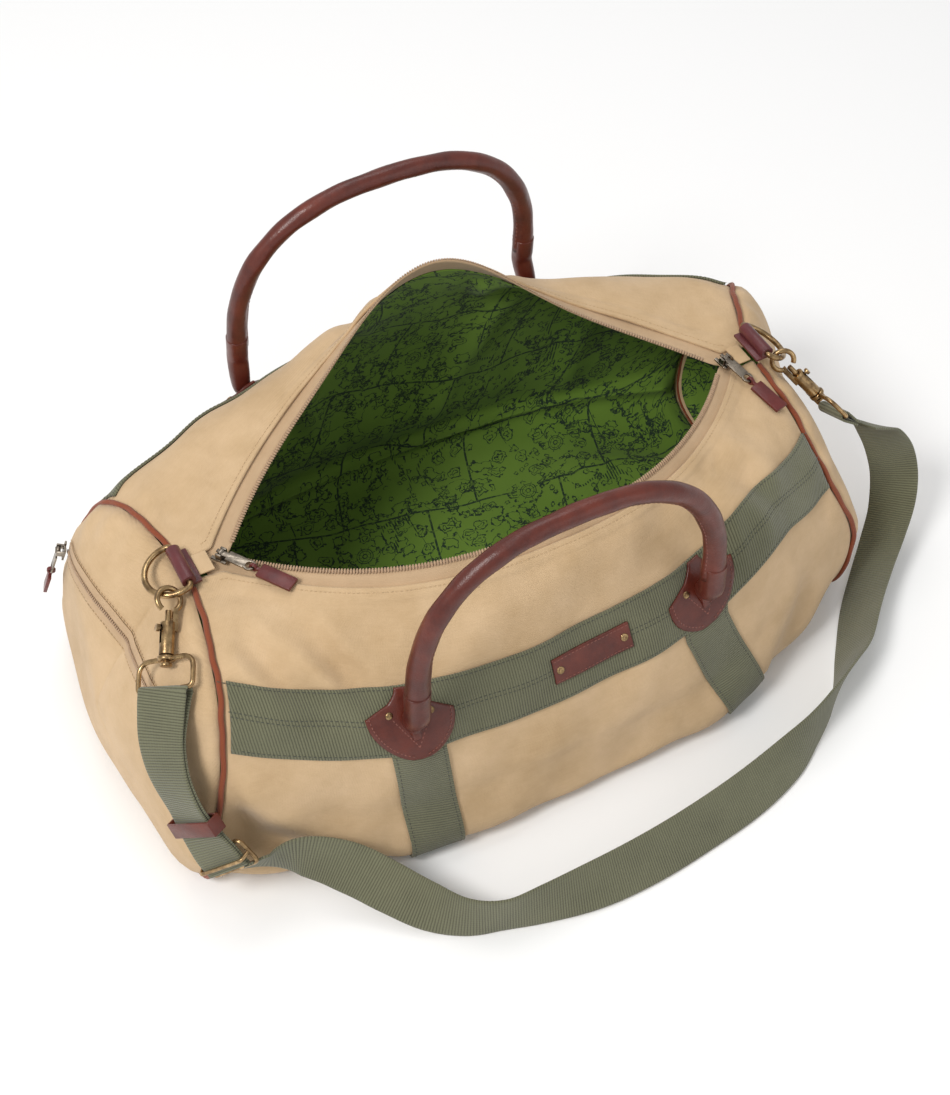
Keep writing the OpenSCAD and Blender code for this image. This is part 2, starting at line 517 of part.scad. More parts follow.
// Clip places: eye centre, length direction, outward face direction
left_clip = [[-248.5, -20, 177], [-0.42, -0.84, -0.34], [-0.62, -0.2, 0.76]];
right_clip = [[245.2, -18.6, 171.2], [0.53, -0.5, -0.69], [0.85, 0.18, 0.5]];
module clip_at(c) frame_at(c[0], c[1], c[2]) children();
function clip_point(c, z) = c[0] + z * unit(c[1]);
hook_turn = [30, 20];                    // how far each hook is turned in its swivel
module left_clip_loop() clip_at(left_clip) clip_loop();
module left_clip_hook() clip_at(left_clip) rotate([0, 0, hook_turn[0]]) clip_hook();
module left_clip_bolt() clip_at(left_clip) rotate([0, 0, hook_turn[0]]) clip_bolt();
module left_clip_spring() clip_at(left_clip) rotate([0, 0, hook_turn[0]]) clip_spring();
module right_clip_loop() clip_at(right_clip) clip_loop();
module right_clip_hook() clip_at(right_clip) rotate([0, 0, hook_turn[1]]) clip_hook();
module right_clip_bolt() clip_at(right_clip) rotate([0, 0, hook_turn[1]]) clip_bolt();
module right_clip_spring() clip_at(right_clip) rotate([0, 0, hook_turn[1]]) clip_spring();

// ---- Shoulder strap ----

// Route from the strap adjuster to the right clip: point, width direction
STRAP = [
    [[-247, -158, 48], [0.16, -0.35, 0.92]], [[-229, -165, 48], [0.2, 0.1, 0.95]],
    [[-212, -175, 43], [0.15, 0.4, 0.89]], [[-196, -188, 35], [0.15, 0.6, 0.78]],
    [[-182, -204, 28], [0.25, 0.6, 0.75]], [[-164, -226, 22], [0.3, 0.45, 0.83]],
    [[-144, -245, 20], [0.1, 0.2, 0.97]], [[-120, -256, 20.2], [0, 0.05, 1]],
    [[-92, -261, 20], [0, 0.25, 0.97]], [[-50, -264, 17.5], [0, 0.55, 0.83]],
    [[-8, -263, 16], [0, 0.65, 0.76]], [[34, -259, 16], [0, 0.65, 0.76]],
    [[80, -252, 16], [-0.1, 0.65, 0.76]], [[121, -242, 18], [-0.15, 0.5, 0.85]],
    [[152, -230, 20], [-0.1, 0.2, 0.97]], [[180, -215, 20.5], [0, 0, 1]],
    [[203, -198, 19.5], [0.2, -0.25, 0.94]], [[224, -180, 17.5], [0.42, -0.47, 0.78]],
    [[252, -151, 15.5], [0.52, -0.56, 0.64]], [[280, -126, 16], [0.58, -0.58, 0.57]],
    [[304, -106, 22], [0.6, -0.6, 0.5]], [[322, -90, 34], [0.62, -0.62, 0.45]],
    [[331, -76, 54], [0.72, -0.62, 0.25]], [[329, -66, 76], [0.75, -0.65, 0.1]],
    [[318, -60, 98], [0.55, -0.75, 0.3]], [[306, -59, 110], [0.2, -0.9, 0.4]],
    [[295, -59, 115.5], [0, -0.87, 0.48]]
];
module shoulder_strap() color(olive)
    sweep(ribbon_rings(smooth([for (p = STRAP) p[0]], 4), smooth([for (p = STRAP) p[1]], 4), strap_w, 2, 0, 2));

// Webbing folded round the left clip's bar and sewn back at the adjuster: centre line, width direction,
// and how far each of the two layers lies from the centre line.
LOOP_LEFT = [
    [[-275, -73.2, 155.2], [-0.7, 0.6, -0.36], 3.4], [[-281, -82, 147.5], [-0.66, 0.63, -0.38], 2.4],
    [[-288, -94, 136], [-0.58, 0.7, -0.38], 1.4], [[-291.5, -107, 122], [-0.5, 0.75, -0.4], 1.2],
    [[-291, -118.5, 107.5], [-0.45, 0.78, -0.4], 1.2], [[-288, -128, 92], [-0.45, 0.8, -0.35], 1.2],
    [[-284.5, -138.5, 78.5], [-0.55, 0.76, -0.2], 1.2], [[-280, -149.5, 65.5], [-0.65, 0.72, -0.1], 1.2],
    [[-276, -157, 56.5], [-0.68, 0.7, -0.05], 1.2]
];
module strap_loop_left() color(olive) {
    path = smooth([for (p = LOOP_LEFT) p[0]], 2);
    wides = smooth([for (p = LOOP_LEFT) p[1]], 2);
    gap = smooth([for (p = LOOP_LEFT) p[2]], 2);
    for (s = [-1, 1]) sweep([for (i = [0:len(path) - 1]) ribbon_rings(path, wides, strap_w, 2, s * gap[i])[i]]);
}
end_way = [0.72, -0.43, -0.55];
module strap_end_right() color(olive) {
    b = clip_point(right_clip, loop_bar_z);
    wide = cross(unit(right_clip[1]), unit(right_clip[2]));
    face = unit(cross(end_way, wide));
    for (s = [-1, 1])
        sweep(ribbon_rings([for (k = [[1, 3.2], [7, 2.4], [12, 1.3]]) b + k[0] * end_way + s * k[1] * face],
            [wide, wide, wide], strap_w, 2));
}

// Leather keeper round both layers, and the adjuster's flat frame
module box_ring(w, h, l, t) difference() {
    cube([w + 2 * t, h + 2 * t, l], center = true);
    cube([w, h, l + 2], center = true);
}
keeper = [[-286.4, -133, 85.4], [0.2, -0.6, -0.77], [-0.48, 0.63, -0.61]];
module strap_keeper() color(leather) frame_at(keeper[0], keeper[1], keeper[2]) box_ring(strap_w + 3, 8, 12, 1.6);
adjuster = [[-278.2, -153.2, 61], [0.37, -0.6, -0.71], [-0.66, 0.71, -0.08]];
module strap_adjuster() color(brass) frame_at(adjuster[0], adjuster[1], adjuster[2]) {
    for (z = [-9, 0, 9]) translate([0, z == 0 ? -5 : 5, z]) rotate([0, 90, 0])
        cylinder(r = 1.4, h = strap_w + 6, center = true, $fn = 32);
    for (s = [-1, 1]) translate([s * (strap_w / 2 + 3) - 1.2, -6.4, -10.4]) cube([2.4, 12.8, 20.8]);
}

// The frame's origin is under the middle of the bag and its hardware
home = [13.3, 9.4, 0];
translate(home) {
front_panel();
bottom_panel();
back_panel();
left_end_panel();
right_end_panel();
lining();
left_piping();
right_piping();
front_band();
back_band();
left_under_strap();
right_under_strap();
left_front_chape();
right_front_chape();
left_back_chape();
right_back_chape();
front_handle();
back_handle();
front_handle_core();
back_handle_core();
front_handle_rivets();
back_handle_rivets();
label_patch();
label_rivets();
front_zip_tape();
back_zip_tape();
front_zip_coil();
back_zip_coil();
left_zip_end_tab();
right_zip_end_tab();
left_zip_slider();
left_zip_puller();
left_zip_pull_tab();
right_zip_slider();
right_zip_puller();
right_zip_pull_tab();
pocket_zip_tape();
pocket_zip_coil();
pocket_zip_slider();
pocket_zip_puller();
pocket_zip_pull_tab();
pocket_liner();
left_ring_tab();
right_ring_tab();
left_d_ring();
right_d_ring();
left_clip_loop();
left_clip_hook();
left_clip_bolt();
left_clip_spring();
right_clip_loop();
right_clip_hook();
right_clip_bolt();
right_clip_spring();
shoulder_strap();
strap_loop_left();
strap_end_right();
strap_keeper();
strap_adjuster();
}
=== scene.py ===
import math
import bpy
import bmesh
import numpy as np
from mathutils import Matrix, Vector


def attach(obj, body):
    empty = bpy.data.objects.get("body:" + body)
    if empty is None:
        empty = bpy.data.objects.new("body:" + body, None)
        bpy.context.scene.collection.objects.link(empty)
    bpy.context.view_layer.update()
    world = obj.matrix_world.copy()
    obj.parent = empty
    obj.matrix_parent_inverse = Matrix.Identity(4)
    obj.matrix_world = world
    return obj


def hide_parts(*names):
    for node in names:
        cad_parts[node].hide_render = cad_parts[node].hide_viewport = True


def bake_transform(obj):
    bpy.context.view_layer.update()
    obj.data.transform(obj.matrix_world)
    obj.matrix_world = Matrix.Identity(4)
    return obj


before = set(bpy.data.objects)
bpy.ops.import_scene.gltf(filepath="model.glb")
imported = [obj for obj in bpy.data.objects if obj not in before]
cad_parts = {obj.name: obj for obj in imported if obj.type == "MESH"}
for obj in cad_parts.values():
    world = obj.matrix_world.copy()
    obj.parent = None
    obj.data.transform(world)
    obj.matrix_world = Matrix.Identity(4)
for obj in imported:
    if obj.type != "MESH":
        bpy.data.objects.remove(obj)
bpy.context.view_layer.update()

MM = 0.001
HOME = np.array([13.3, 9.4, 0.0])            # the sewn shapes below are written from the bag's own middle


def world_point(p):
    return tuple(float(c) for c in (np.asarray(p, float) + HOME) * MM)

# ---------------------------------------------------------------- camera and light

AZ, EL = math.radians(-28), math.radians(49)
BACK = Vector((math.sin(AZ) * math.cos(EL), -math.cos(AZ) * math.cos(EL), math.sin(EL)))
RIGHT = Vector((math.cos(AZ), math.sin(AZ), 0))
UP = BACK.cross(RIGHT)
cam_data = bpy.data.cameras.new("camera")
cam_data.lens = 57.77
cam_data.sensor_width = 36
cam_data.shift_x, cam_data.shift_y = -0.0087, -0.04
cam_data.clip_end = 20
cam = bpy.data.objects.new("camera", cam_data)
bpy.context.collection.objects.link(cam)
rot = Matrix((RIGHT, UP, BACK)).transposed().to_4x4()
cam.matrix_world = Matrix.Translation(Vector(world_point((0, 0, 120))) + BACK * 1.3) @ rot
bpy.context.scene.camera = cam
bpy.context.scene.view_settings.view_transform = "Standard"


def area_light(name, loc, target, size, power, color=(1, 1, 1)):
    d = bpy.data.lights.new(name, "AREA")
    d.shape, d.size, d.energy, d.color = "DISK", size, power, color
    o = bpy.data.objects.new(name, d)
    bpy.context.collection.objects.link(o)
    o.location = loc
    o.rotation_euler = (Vector(target) - Vector(loc)).to_track_quat("-Z", "Y").to_euler()


area_light("key", (-1.5, -0.5, 2.0), (0, 0, 0.1), 0.8, 34, (1, 0.985, 0.96))
area_light("fill", (1.2, -2.2, 1.2), (0, 0, 0.1), 2.0, 8)
area_light("top", (0.3, 0.9, 2.4), (0, 0, 0.1), 1.4, 12)
world = bpy.data.worlds.new("world")
world.use_nodes = True
world.node_tree.nodes["Background"].inputs[0].default_value = (1, 1, 1, 1)
world.node_tree.nodes["Background"].inputs[1].default_value = 0.6
bpy.context.scene.world = world


# ---------------------------------------------------------------- materials

class Nodes:
    """Short way to build a shader tree."""

    def __init__(self, name, rough=0.7, metal=0.0, color=(0.5, 0.5, 0.5), sheen=0.0, spec=0.5):
        self.mat = bpy.data.materials.new(name)
        self.mat.use_nodes = True
        self.t = self.mat.node_tree
        self.b = self.t.nodes["Principled BSDF"]
        self.b.inputs["Roughness"].default_value = rough
        self.b.inputs["Metallic"].default_value = metal
        self.b.inputs["Base Color"].default_value = (*color, 1)
        self.b.inputs["Specular IOR Level"].default_value = spec
        if sheen:
            self.b.inputs["Sheen Weight"].default_value = sheen
            self.b.inputs["Sheen Roughness"].default_value = 0.5

    def node(self, kind, inputs=(), **props):
        n = self.t.nodes.new(kind)
        for k, v in props.items():
            setattr(n, k, v)
        for k, v in dict(inputs).items():
            if hasattr(v, "is_output"):
                self.t.links.new(v, n.inputs[k])
            else:
                n.inputs[k].default_value = v
        return n

    def coord(self, kind="UV", scale=(1, 1, 1)):
        c = self.node("ShaderNodeTexCoord").outputs[kind]
        return self.node("ShaderNodeMapping", {"Vector": c, "Scale": scale}).outputs[0]

    def math(self, op, a, b=0.0, clamp=False):
        return self.node("ShaderNodeMath", {0: a, 1: b}, operation=op, use_clamp=clamp).outputs[0]

    def noise(self, vec, scale, detail=3.0, rough=0.5):
        return self.node("ShaderNodeTexNoise", {"Vector": vec, "Scale": scale, "Detail": detail, "Roughness": rough}).outputs[0]

    def ramp(self, fac, lo, hi):
        return self.node("ShaderNodeMapRange", {"Value": fac, "From Min": lo, "From Max": hi}).outputs[0]

    def mix(self, fac, a, b, blend="MIX"):
        n = self.node("ShaderNodeMix", data_type="RGBA", blend_type=blend)
        for i, v in ((0, fac), (6, a), (7, b)):
            if hasattr(v, "is_output"):
                self.t.links.new(v, n.inputs[i])
            else:
                n.inputs[i].default_value = (*v, 1) if isinstance(v, tuple) else v
        return n.outputs[2]

    def color(self, out):
        self.t.links.new(out, self.b.inputs["Base Color"])

    def rough(self, out):
        self.t.links.new(out, self.b.inputs["Roughness"])

    def bump(self, height, strength, dist, before=None):
        n = self.node("ShaderNodeBump", {"Height": height, "Strength": strength, "Distance": dist})
        if before is not None:
            self.t.links.new(before, n.inputs["Normal"])
        self.t.links.new(n.outputs[0], self.b.inputs["Normal"])
        return n.outputs[0]

    def weave(self, vec, pitch_mm):
        """Height of a plain weave with threads this far apart; vec is in metres."""
        sep = self.node("ShaderNodeSeparateXYZ", {0: vec})
        k = math.pi / (pitch_mm * MM)
        a = self.math("SINE", self.math("MULTIPLY", sep.outputs[0], k))
        b = self.math("SINE", self.math("MULTIPLY", sep.outputs[1], k))
        return self.math("ABSOLUTE", self.math("MULTIPLY", a, b))


def canvas_material(name, light, dark):
    m = Nodes(name, rough=0.88, sheen=0.15, spec=0.15)
    uv = m.coord()
    obj = m.coord("Object")
    broad = m.ramp(m.math("ADD", m.math("MULTIPLY", m.noise(obj, 9, 4, 0.6), 0.55), m.math("MULTIPLY", m.noise(obj, 34, 5, 0.65), 0.45)), 0.36, 0.64)
    fine = m.ramp(m.noise(uv, 900, 2, 0.7), 0.25, 0.75)
    slub = m.ramp(m.noise(m.coord("UV", (60, 900, 1)), 1.0, 2), 0.35, 0.7)
    col = m.mix(broad, dark, light)
    col = m.mix(m.math("MULTIPLY", fine, 0.22), col, tuple(c * 0.78 for c in light))
    col = m.mix(m.math("MULTIPLY", slub, 0.12), col, tuple(min(1, c * 1.12) for c in light))
    m.color(col)
    first = m.bump(m.weave(uv, 1.1), 0.35, 0.0004)
    m.bump(m.noise(obj, 48, 5, 0.65), 0.5, 0.0022, first)
    return m.mat


def webbing_material(name, color, dark):
    m = Nodes(name, rough=0.85, sheen=0.25, spec=0.15)
    uv = m.coord()
    sep = m.node("ShaderNodeSeparateXYZ", {0: uv})
    wob = m.math("MULTIPLY", m.noise(uv, 400, 2), 0.0005)
    x = m.math("ADD", sep.outputs[0], wob)
    rib = m.math("ABSOLUTE", m.math("SINE", m.math("MULTIPLY", x, math.pi / 0.0019)))
    cord = m.math("ABSOLUTE", m.math("SINE", m.math("MULTIPLY", sep.outputs[1], math.pi / 0.0023)))
    # painted shade: the colour darkens in the grooves between the ribs, where the rib bump sets the surface low
    col = m.mix(m.ramp(rib, 0.0, 0.75), dark, color)
    col = m.mix(m.math("MULTIPLY", m.ramp(m.noise(m.coord("Object"), 25, 3), 0.3, 0.7), 0.35), col, tuple(c * 1.35 for c in color))
    m.color(col)
    first = m.bump(rib, 0.8, 0.0006)
    m.bump(cord, 0.25, 0.0003, first)
    return m.mat


def leather_material(name, color, dark, rough=0.42):
    m = Nodes(name, rough=rough, spec=0.4)
    obj = m.coord("Object")
    mott = m.ramp(m.noise(obj, 45, 5, 0.65), 0.3, 0.72)
    m.color(m.mix(mott, dark, color))
    m.rough(m.ramp(m.noise(obj, 80, 3), -0.7, 2.6))
    pores = m.node("ShaderNodeTexVoronoi", {"Vector": obj, "Scale": 900.0}).outputs[0]
    first = m.bump(pores, 0.25, 0.0004)
    m.bump(m.noise(obj, 120, 4), 0.35, 0.0012, first)
    m.b.inputs["Coat Weight"].default_value = 0.15
    m.b.inputs["Coat Roughness"].default_value = 0.35
    return m.mat


def metal_material(name, color, dark, rough):
    m = Nodes(name, rough=rough, metal=1.0)
    obj = m.coord("Object")
    wear = m.ramp(m.noise(obj, 160, 5, 0.6), 0.32, 0.66)
    m.color(m.mix(wear, dark, color))
    m.rough(m.math("ADD", m.math("MULTIPLY", wear, -0.18), rough + 0.12))
    m.bump(m.noise(obj, 700, 3), 0.12, 0.0003)
    return m.mat


def piping_material():
    m = Nodes("piping", rough=0.8, sheen=0.2, spec=0.2)
    uv = m.coord()
    sep = m.node("ShaderNodeSeparateXYZ", {0: uv})
    d = m.math("ADD", sep.outputs[0], sep.outputs[1])
    twill = m.math("ABSOLUTE", m.math("SINE", m.math("MULTIPLY", d, math.pi / 0.0013)))
    # painted shade: the colour darkens in the twill grooves, where the twill bump sets the surface low
    m.color(m.mix(m.ramp(twill, 0, 0.8), (0.12, 0.028, 0.012), (0.28, 0.068, 0.026)))
    m.bump(twill, 0.5, 0.0004)
    return m.mat


def thread_material(name, color):
    m = Nodes(name, rough=0.7, sheen=0.2)
    obj = m.coord("Object")
    m.color(m.mix(m.ramp(m.noise(obj, 700, 2), 0.3, 0.7), tuple(c * 0.7 for c in color), color))
    m.bump(m.noise(obj, 2500, 2), 0.3, 0.0002)
    return m.mat


def lining_material():
    """Cotton print of map-like line drawing: islands, shore lines, borders, compass rings and dotted ways; no lettering."""
    m = Nodes("lining", rough=0.85, sheen=0.1, spec=0.12)
    uv = m.coord()

    def shift(scale, amount):
        w = m.node("ShaderNodeTexNoise", {"Vector": uv, "Scale": scale, "Detail": 2.0}).outputs[1]
        w = m.node("ShaderNodeVectorMath", {0: w, 1: (0.5, 0.5, 0.5)}, operation="SUBTRACT").outputs[0]
        w = m.node("ShaderNodeVectorMath", {0: w, "Scale": amount}, operation="SCALE").outputs[0]
        return m.node("ShaderNodeVectorMath", {0: uv, 1: w}, operation="ADD").outputs[0]

    def line(value, at, half):
        """1 where value is within half of at."""
        return m.math("LESS_THAN", m.math("ABSOLUTE", m.math("SUBTRACT", value, at)), half)

    def either(*parts):
        out = parts[0]
        for q in parts[1:]:
            out = m.math("MAXIMUM", out, q)
        return out

    def both(*parts):
        out = parts[0]
        for q in parts[1:]:
            out = m.math("MULTIPLY", out, q)
        return out

    rough_coord = shift(170.0, 0.011)
    isle = m.node("ShaderNodeTexVoronoi", {"Vector": rough_coord, "Scale": 62.0, "Randomness": 0.85}, voronoi_dimensions="2D")
    group = m.math("GREATER_THAN", m.noise(uv, 11, 2), 0.43)
    kind = m.node("ShaderNodeSeparateColor", {0: isle.outputs[1]})
    isles = both(line(isle.outputs[0], 0.33, 0.036), group, m.math("GREATER_THAN", kind.outputs[0], 0.12))
    inner = both(line(isle.outputs[0], 0.15, 0.03), group, m.math("GREATER_THAN", kind.outputs[1], 0.45))
    rock = m.node("ShaderNodeTexVoronoi", {"Vector": shift(400.0, 0.005), "Scale": 150.0, "Randomness": 1.0}, voronoi_dimensions="2D")
    far = m.math("LESS_THAN", m.noise(uv, 11, 2), 0.5)
    pick = m.node("ShaderNodeSeparateColor", {0: rock.outputs[1]})
    rocks = both(line(rock.outputs[0], 0.26, 0.075), far, m.math("GREATER_THAN", pick.outputs[0], 0.6))
    shore = line(m.noise(uv, 9, 7, 0.62), 0.5, 0.0062)
    creek = line(m.noise(m.coord("UV", (1.0, 1.3, 1.0)), 15, 6, 0.55), 0.44, 0.005)
    way = both(line(m.noise(m.coord("UV", (1.6, 0.8, 1.0)), 7, 2, 0.4), 0.52, 0.004),
               m.math("GREATER_THAN", m.math("SINE", m.math("MULTIPLY", m.node("ShaderNodeSeparateXYZ", {0: uv}).outputs[0], 2600.0)), 0.0))
    turned = m.node("ShaderNodeMapping", {"Vector": m.coord(), "Rotation": (0, 0, 0.22)}).outputs[0]
    border = m.node("ShaderNodeTexBrick", {"Vector": turned, "Scale": 1.0, "Mortar Size": 0.0009, "Mortar Smooth": 0.0, "Brick Width": 0.115, "Row Height": 0.074},
                    offset=0.37).outputs[1]
    rose = m.node("ShaderNodeTexVoronoi", {"Vector": uv, "Scale": 9.5, "Randomness": 0.8}, voronoi_dimensions="2D")
    d = rose.outputs[0]
    local = m.node("ShaderNodeVectorMath", {0: uv, 1: rose.outputs[2]}, operation="SUBTRACT").outputs[0]
    sep = m.node("ShaderNodeSeparateXYZ", {0: local})
    angle = m.math("ARCTAN2", sep.outputs[1], sep.outputs[0])
    spoke = m.math("LESS_THAN", m.math("ABSOLUTE", m.math("SINE", m.math("MULTIPLY", angle, 4.0))), 0.16)
    rays = both(spoke, m.math("LESS_THAN", d, 0.088), m.math("GREATER_THAN", d, 0.022))
    clear = m.math("GREATER_THAN", d, 0.095)
    roses = either(line(d, 0.066, 0.004), line(d, 0.048, 0.003), line(d, 0.018, 0.005), rays)
    ink = either(both(either(isles, inner, rocks, shore, creek, way, border), clear), roses)
    worn = m.ramp(m.noise(uv, 300, 3), 0.25, 0.5)
    ink = m.math("MULTIPLY", ink, m.math("MULTIPLY", worn, 0.9))
    base = m.mix(m.ramp(m.noise(m.coord("Object"), 8, 3), 0.3, 0.7), (0.115, 0.205, 0.028), (0.16, 0.265, 0.043))
    m.color(m.mix(ink, base, (0.010, 0.018, 0.022)))
    first = m.bump(m.weave(uv, 1.0), 0.2, 0.0003)
    m.bump(m.noise(uv, 40, 4), 0.4, 0.002, first)
    return m.mat


MAT = {
    "canvas": canvas_material("canvas", (0.62, 0.445, 0.27), (0.475, 0.325, 0.175)),
    "canvas_in": canvas_material("canvas_inside", (0.60, 0.42, 0.24), (0.50, 0.34, 0.18)),
    # webbing: the second colour is painted shade for the rib grooves
    "webbing": webbing_material("webbing", (0.15, 0.15, 0.092), (0.045, 0.043, 0.026)),
    "leather": leather_material("leather", (0.135, 0.024, 0.012), (0.06, 0.010, 0.006)),
    "pull": leather_material("pull_leather", (0.15, 0.022, 0.018), (0.075, 0.010, 0.010)),
    "tab": leather_material("tab_leather", (0.14, 0.03, 0.032), (0.075, 0.014, 0.016)),
    "brass": metal_material("antique_brass", (0.50, 0.34, 0.17), (0.16, 0.10, 0.05), 0.28),
    "gunmetal": metal_material("gunmetal", (0.36, 0.31, 0.25), (0.12, 0.10, 0.08), 0.3),
    "steel": metal_material("spring_steel", (0.6, 0.6, 0.6), (0.3, 0.3, 0.3), 0.25),
    "piping": piping_material(),
    "tape": canvas_material("zip_tape", (0.54, 0.38, 0.235), (0.44, 0.30, 0.175)),
    "coil": thread_material("zip_coil", (0.46, 0.30, 0.18)),
    "thread": thread_material("canvas_thread", (0.56, 0.38, 0.20)),
    "thread_dark": thread_material("webbing_thread", (0.055, 0.058, 0.036)),
    "thread_red": thread_material("leather_thread", (0.24, 0.07, 0.045)),
    "lining": lining_material(),
}


# ---------------------------------------------------------------- mesh helpers (all in millimetres)

def make(name, verts, faces, mat, uvs=None, smooth=True):
    """uvs: one (x, y) in metres a vertex."""
    me = bpy.data.meshes.new(name)
    me.from_pydata(((np.asarray(verts, float) + HOME) * MM).tolist(), [], [list(f) for f in faces])
    me.validate()
    if uvs is not None:
        layer = me.uv_layers.new(name="UVMap")
        idx = np.empty(len(me.loops), int)
        me.loops.foreach_get("vertex_index", idx)
        layer.data.foreach_set("uv", np.asarray(uvs, np.float32)[idx].ravel())
    if smooth:
        me.polygons.foreach_set("use_smooth", [True] * len(me.polygons))
    me.materials.append(mat)
    o = bpy.data.objects.new(name, me)
    bpy.context.collection.objects.link(o)
    return o


def recalc(o):
    bm = bmesh.new()
    bm.from_mesh(o.data)
    bmesh.ops.recalc_face_normals(bm, faces=bm.faces)
    bm.to_mesh(o.data)
    bm.free()
    return o


def sharp(o, angle=35):
    o.data.set_sharp_from_angle(angle=math.radians(angle))
    return o


def shell(name, P, Q, mat, uv):
    """Closed sheet between two n x m grids of points."""
    n, m = P.shape[:2]
    i, j = np.meshgrid(np.arange(n - 1), np.arange(m - 1), indexing="ij")
    a = (i * m + j).ravel()
    quads = np.stack([a, a + 1, a + m + 1, a + m], 1)
    faces = [*quads.tolist(), *(quads[:, ::-1] + n * m).tolist()]
    border = [*range(m - 1), *[k * m + m - 1 for k in range(n - 1)], *[(n - 1) * m + k for k in range(m - 1, 0, -1)],
              *[k * m for k in range(n - 1, 0, -1)]]
    t = n * m
    for p, q in zip(border, border[1:] + border[:1]):
        faces.append([q, p, p + t, q + t])
    verts = np.concatenate([P.reshape(-1, 3), Q.reshape(-1, 3)])
    return recalc(make(name, verts, faces, mat, np.concatenate([uv.reshape(-1, 2)] * 2)))


def sweep(name, rings, mat, closed=False, caps=True, uv_scale=1.0):
    """Skin over a list of rings of equal size."""
    R = np.asarray(rings, float)
    n, m = R.shape[:2]
    faces = []
    for i in range(n if closed else n - 1):
        k = (i + 1) % n
        for j in range(m):
            l = (j + 1) % m
            faces.append([i * m + j, i * m + l, k * m + l, k * m + j])
    if caps and not closed:
        faces += [list(range(m))[::-1], [(n - 1) * m + j for j in range(m)]]
    mid = R.mean(1)
    along = np.concatenate([[0], np.cumsum(np.linalg.norm(np.diff(mid, axis=0), axis=1))])
    around = np.linalg.norm(np.roll(R[0], -1, 0) - R[0], axis=1).cumsum()
    around = np.concatenate([[0], around[:-1]])
    uv = np.stack(np.broadcast_arrays(along[:, None], around[None, :]), -1) * MM * uv_scale
    return recalc(make(name, R.reshape(-1, 3), faces, mat, uv.reshape(-1, 2)))


def unit(v):
    v = np.asarray(v, float)
    return v / np.maximum(np.linalg.norm(v, axis=-1, keepdims=True), 1e-9)


def tangents(path):
    return unit(np.gradient(np.asarray(path, float), axis=0))


def catmull(points, n):
    """Smooth points through the given ones; works on any number of columns."""
    p = np.asarray(points, float)
    p = p.reshape(len(p), -1)
    e = len(p) - 1
    out = []
    for i in range(e):
        a, b, c, d = p[max(i - 1, 0)], p[i], p[i + 1], p[min(i + 2, e)]
        for t in np.arange(n + (i == e - 1)) / n:
            out.append(0.5 * (2 * b + (c - a) * t + (2 * a - 5 * b + 4 * c - d) * t * t + (3 * b - a - 3 * c + d) * t ** 3))
    return np.array(out)


def tube(path, radius, side, sides=12, squash=1.0):
    path = np.asarray(path, float)
    t = tangents(path)
    a = unit(np.cross(t, side))
    b = np.cross(a, t)
    ang = np.linspace(0, 2 * np.pi, sides, endpoint=False)
    r = np.broadcast_to(np.asarray(radius, float), len(path))[:, None, None]
    return path[:, None, :] + r * (np.cos(ang)[None, :, None] * a[:, None, :] + squash * np.sin(ang)[None, :, None] * b[:, None, :])


def ribbon(path, wide, w, t, lift=0.0, edge=5, bow=0.0):
    """Rings of a strap with rounded edges. wide: width direction at each point; lift: offset along the face."""
    path = np.asarray(path, float)
    d = tangents(path)
    face = unit(np.cross(d, wide))
    across = np.cross(face, d)
    ws = np.linspace(-1, 1, 13)
    prof = [(s * (w / 2 - t / 2), t / 2) for s in ws]
    prof += [(w / 2 - t / 2 + t / 2 * math.sin(a), t / 2 * math.cos(a)) for a in np.linspace(0, math.pi, edge)[1:-1]]
    prof += [(s * (w / 2 - t / 2), -t / 2) for s in ws[::-1]]
    prof += [(-(w / 2 - t / 2) - t / 2 * math.sin(a), -t / 2 * math.cos(a)) for a in np.linspace(0, math.pi, edge)[1:-1]]
    prof = np.array(prof)
    arch = bow * (1 - (prof[:, 0] / (w / 2)) ** 2)
    lift = np.broadcast_to(np.asarray(lift, float), len(path))
    c = path + face * lift[:, None]
    return (c[:, None, :] + across[:, None, :] * prof[None, :, 0, None]
            + face[:, None, :] * (prof[None, :, 1, None] + arch[None, :, None]))


def resample(path, pitch):
    path = np.asarray(path, float)
    s = np.concatenate([[0], np.cumsum(np.linalg.norm(np.diff(path, axis=0), axis=1))])
    k = max(2, int(round(s[-1] / pitch)) + 1)
    at = np.linspace(0, s[-1], k)
    return np.stack([np.interp(at, s, path[:, c]) for c in range(3)], 1)


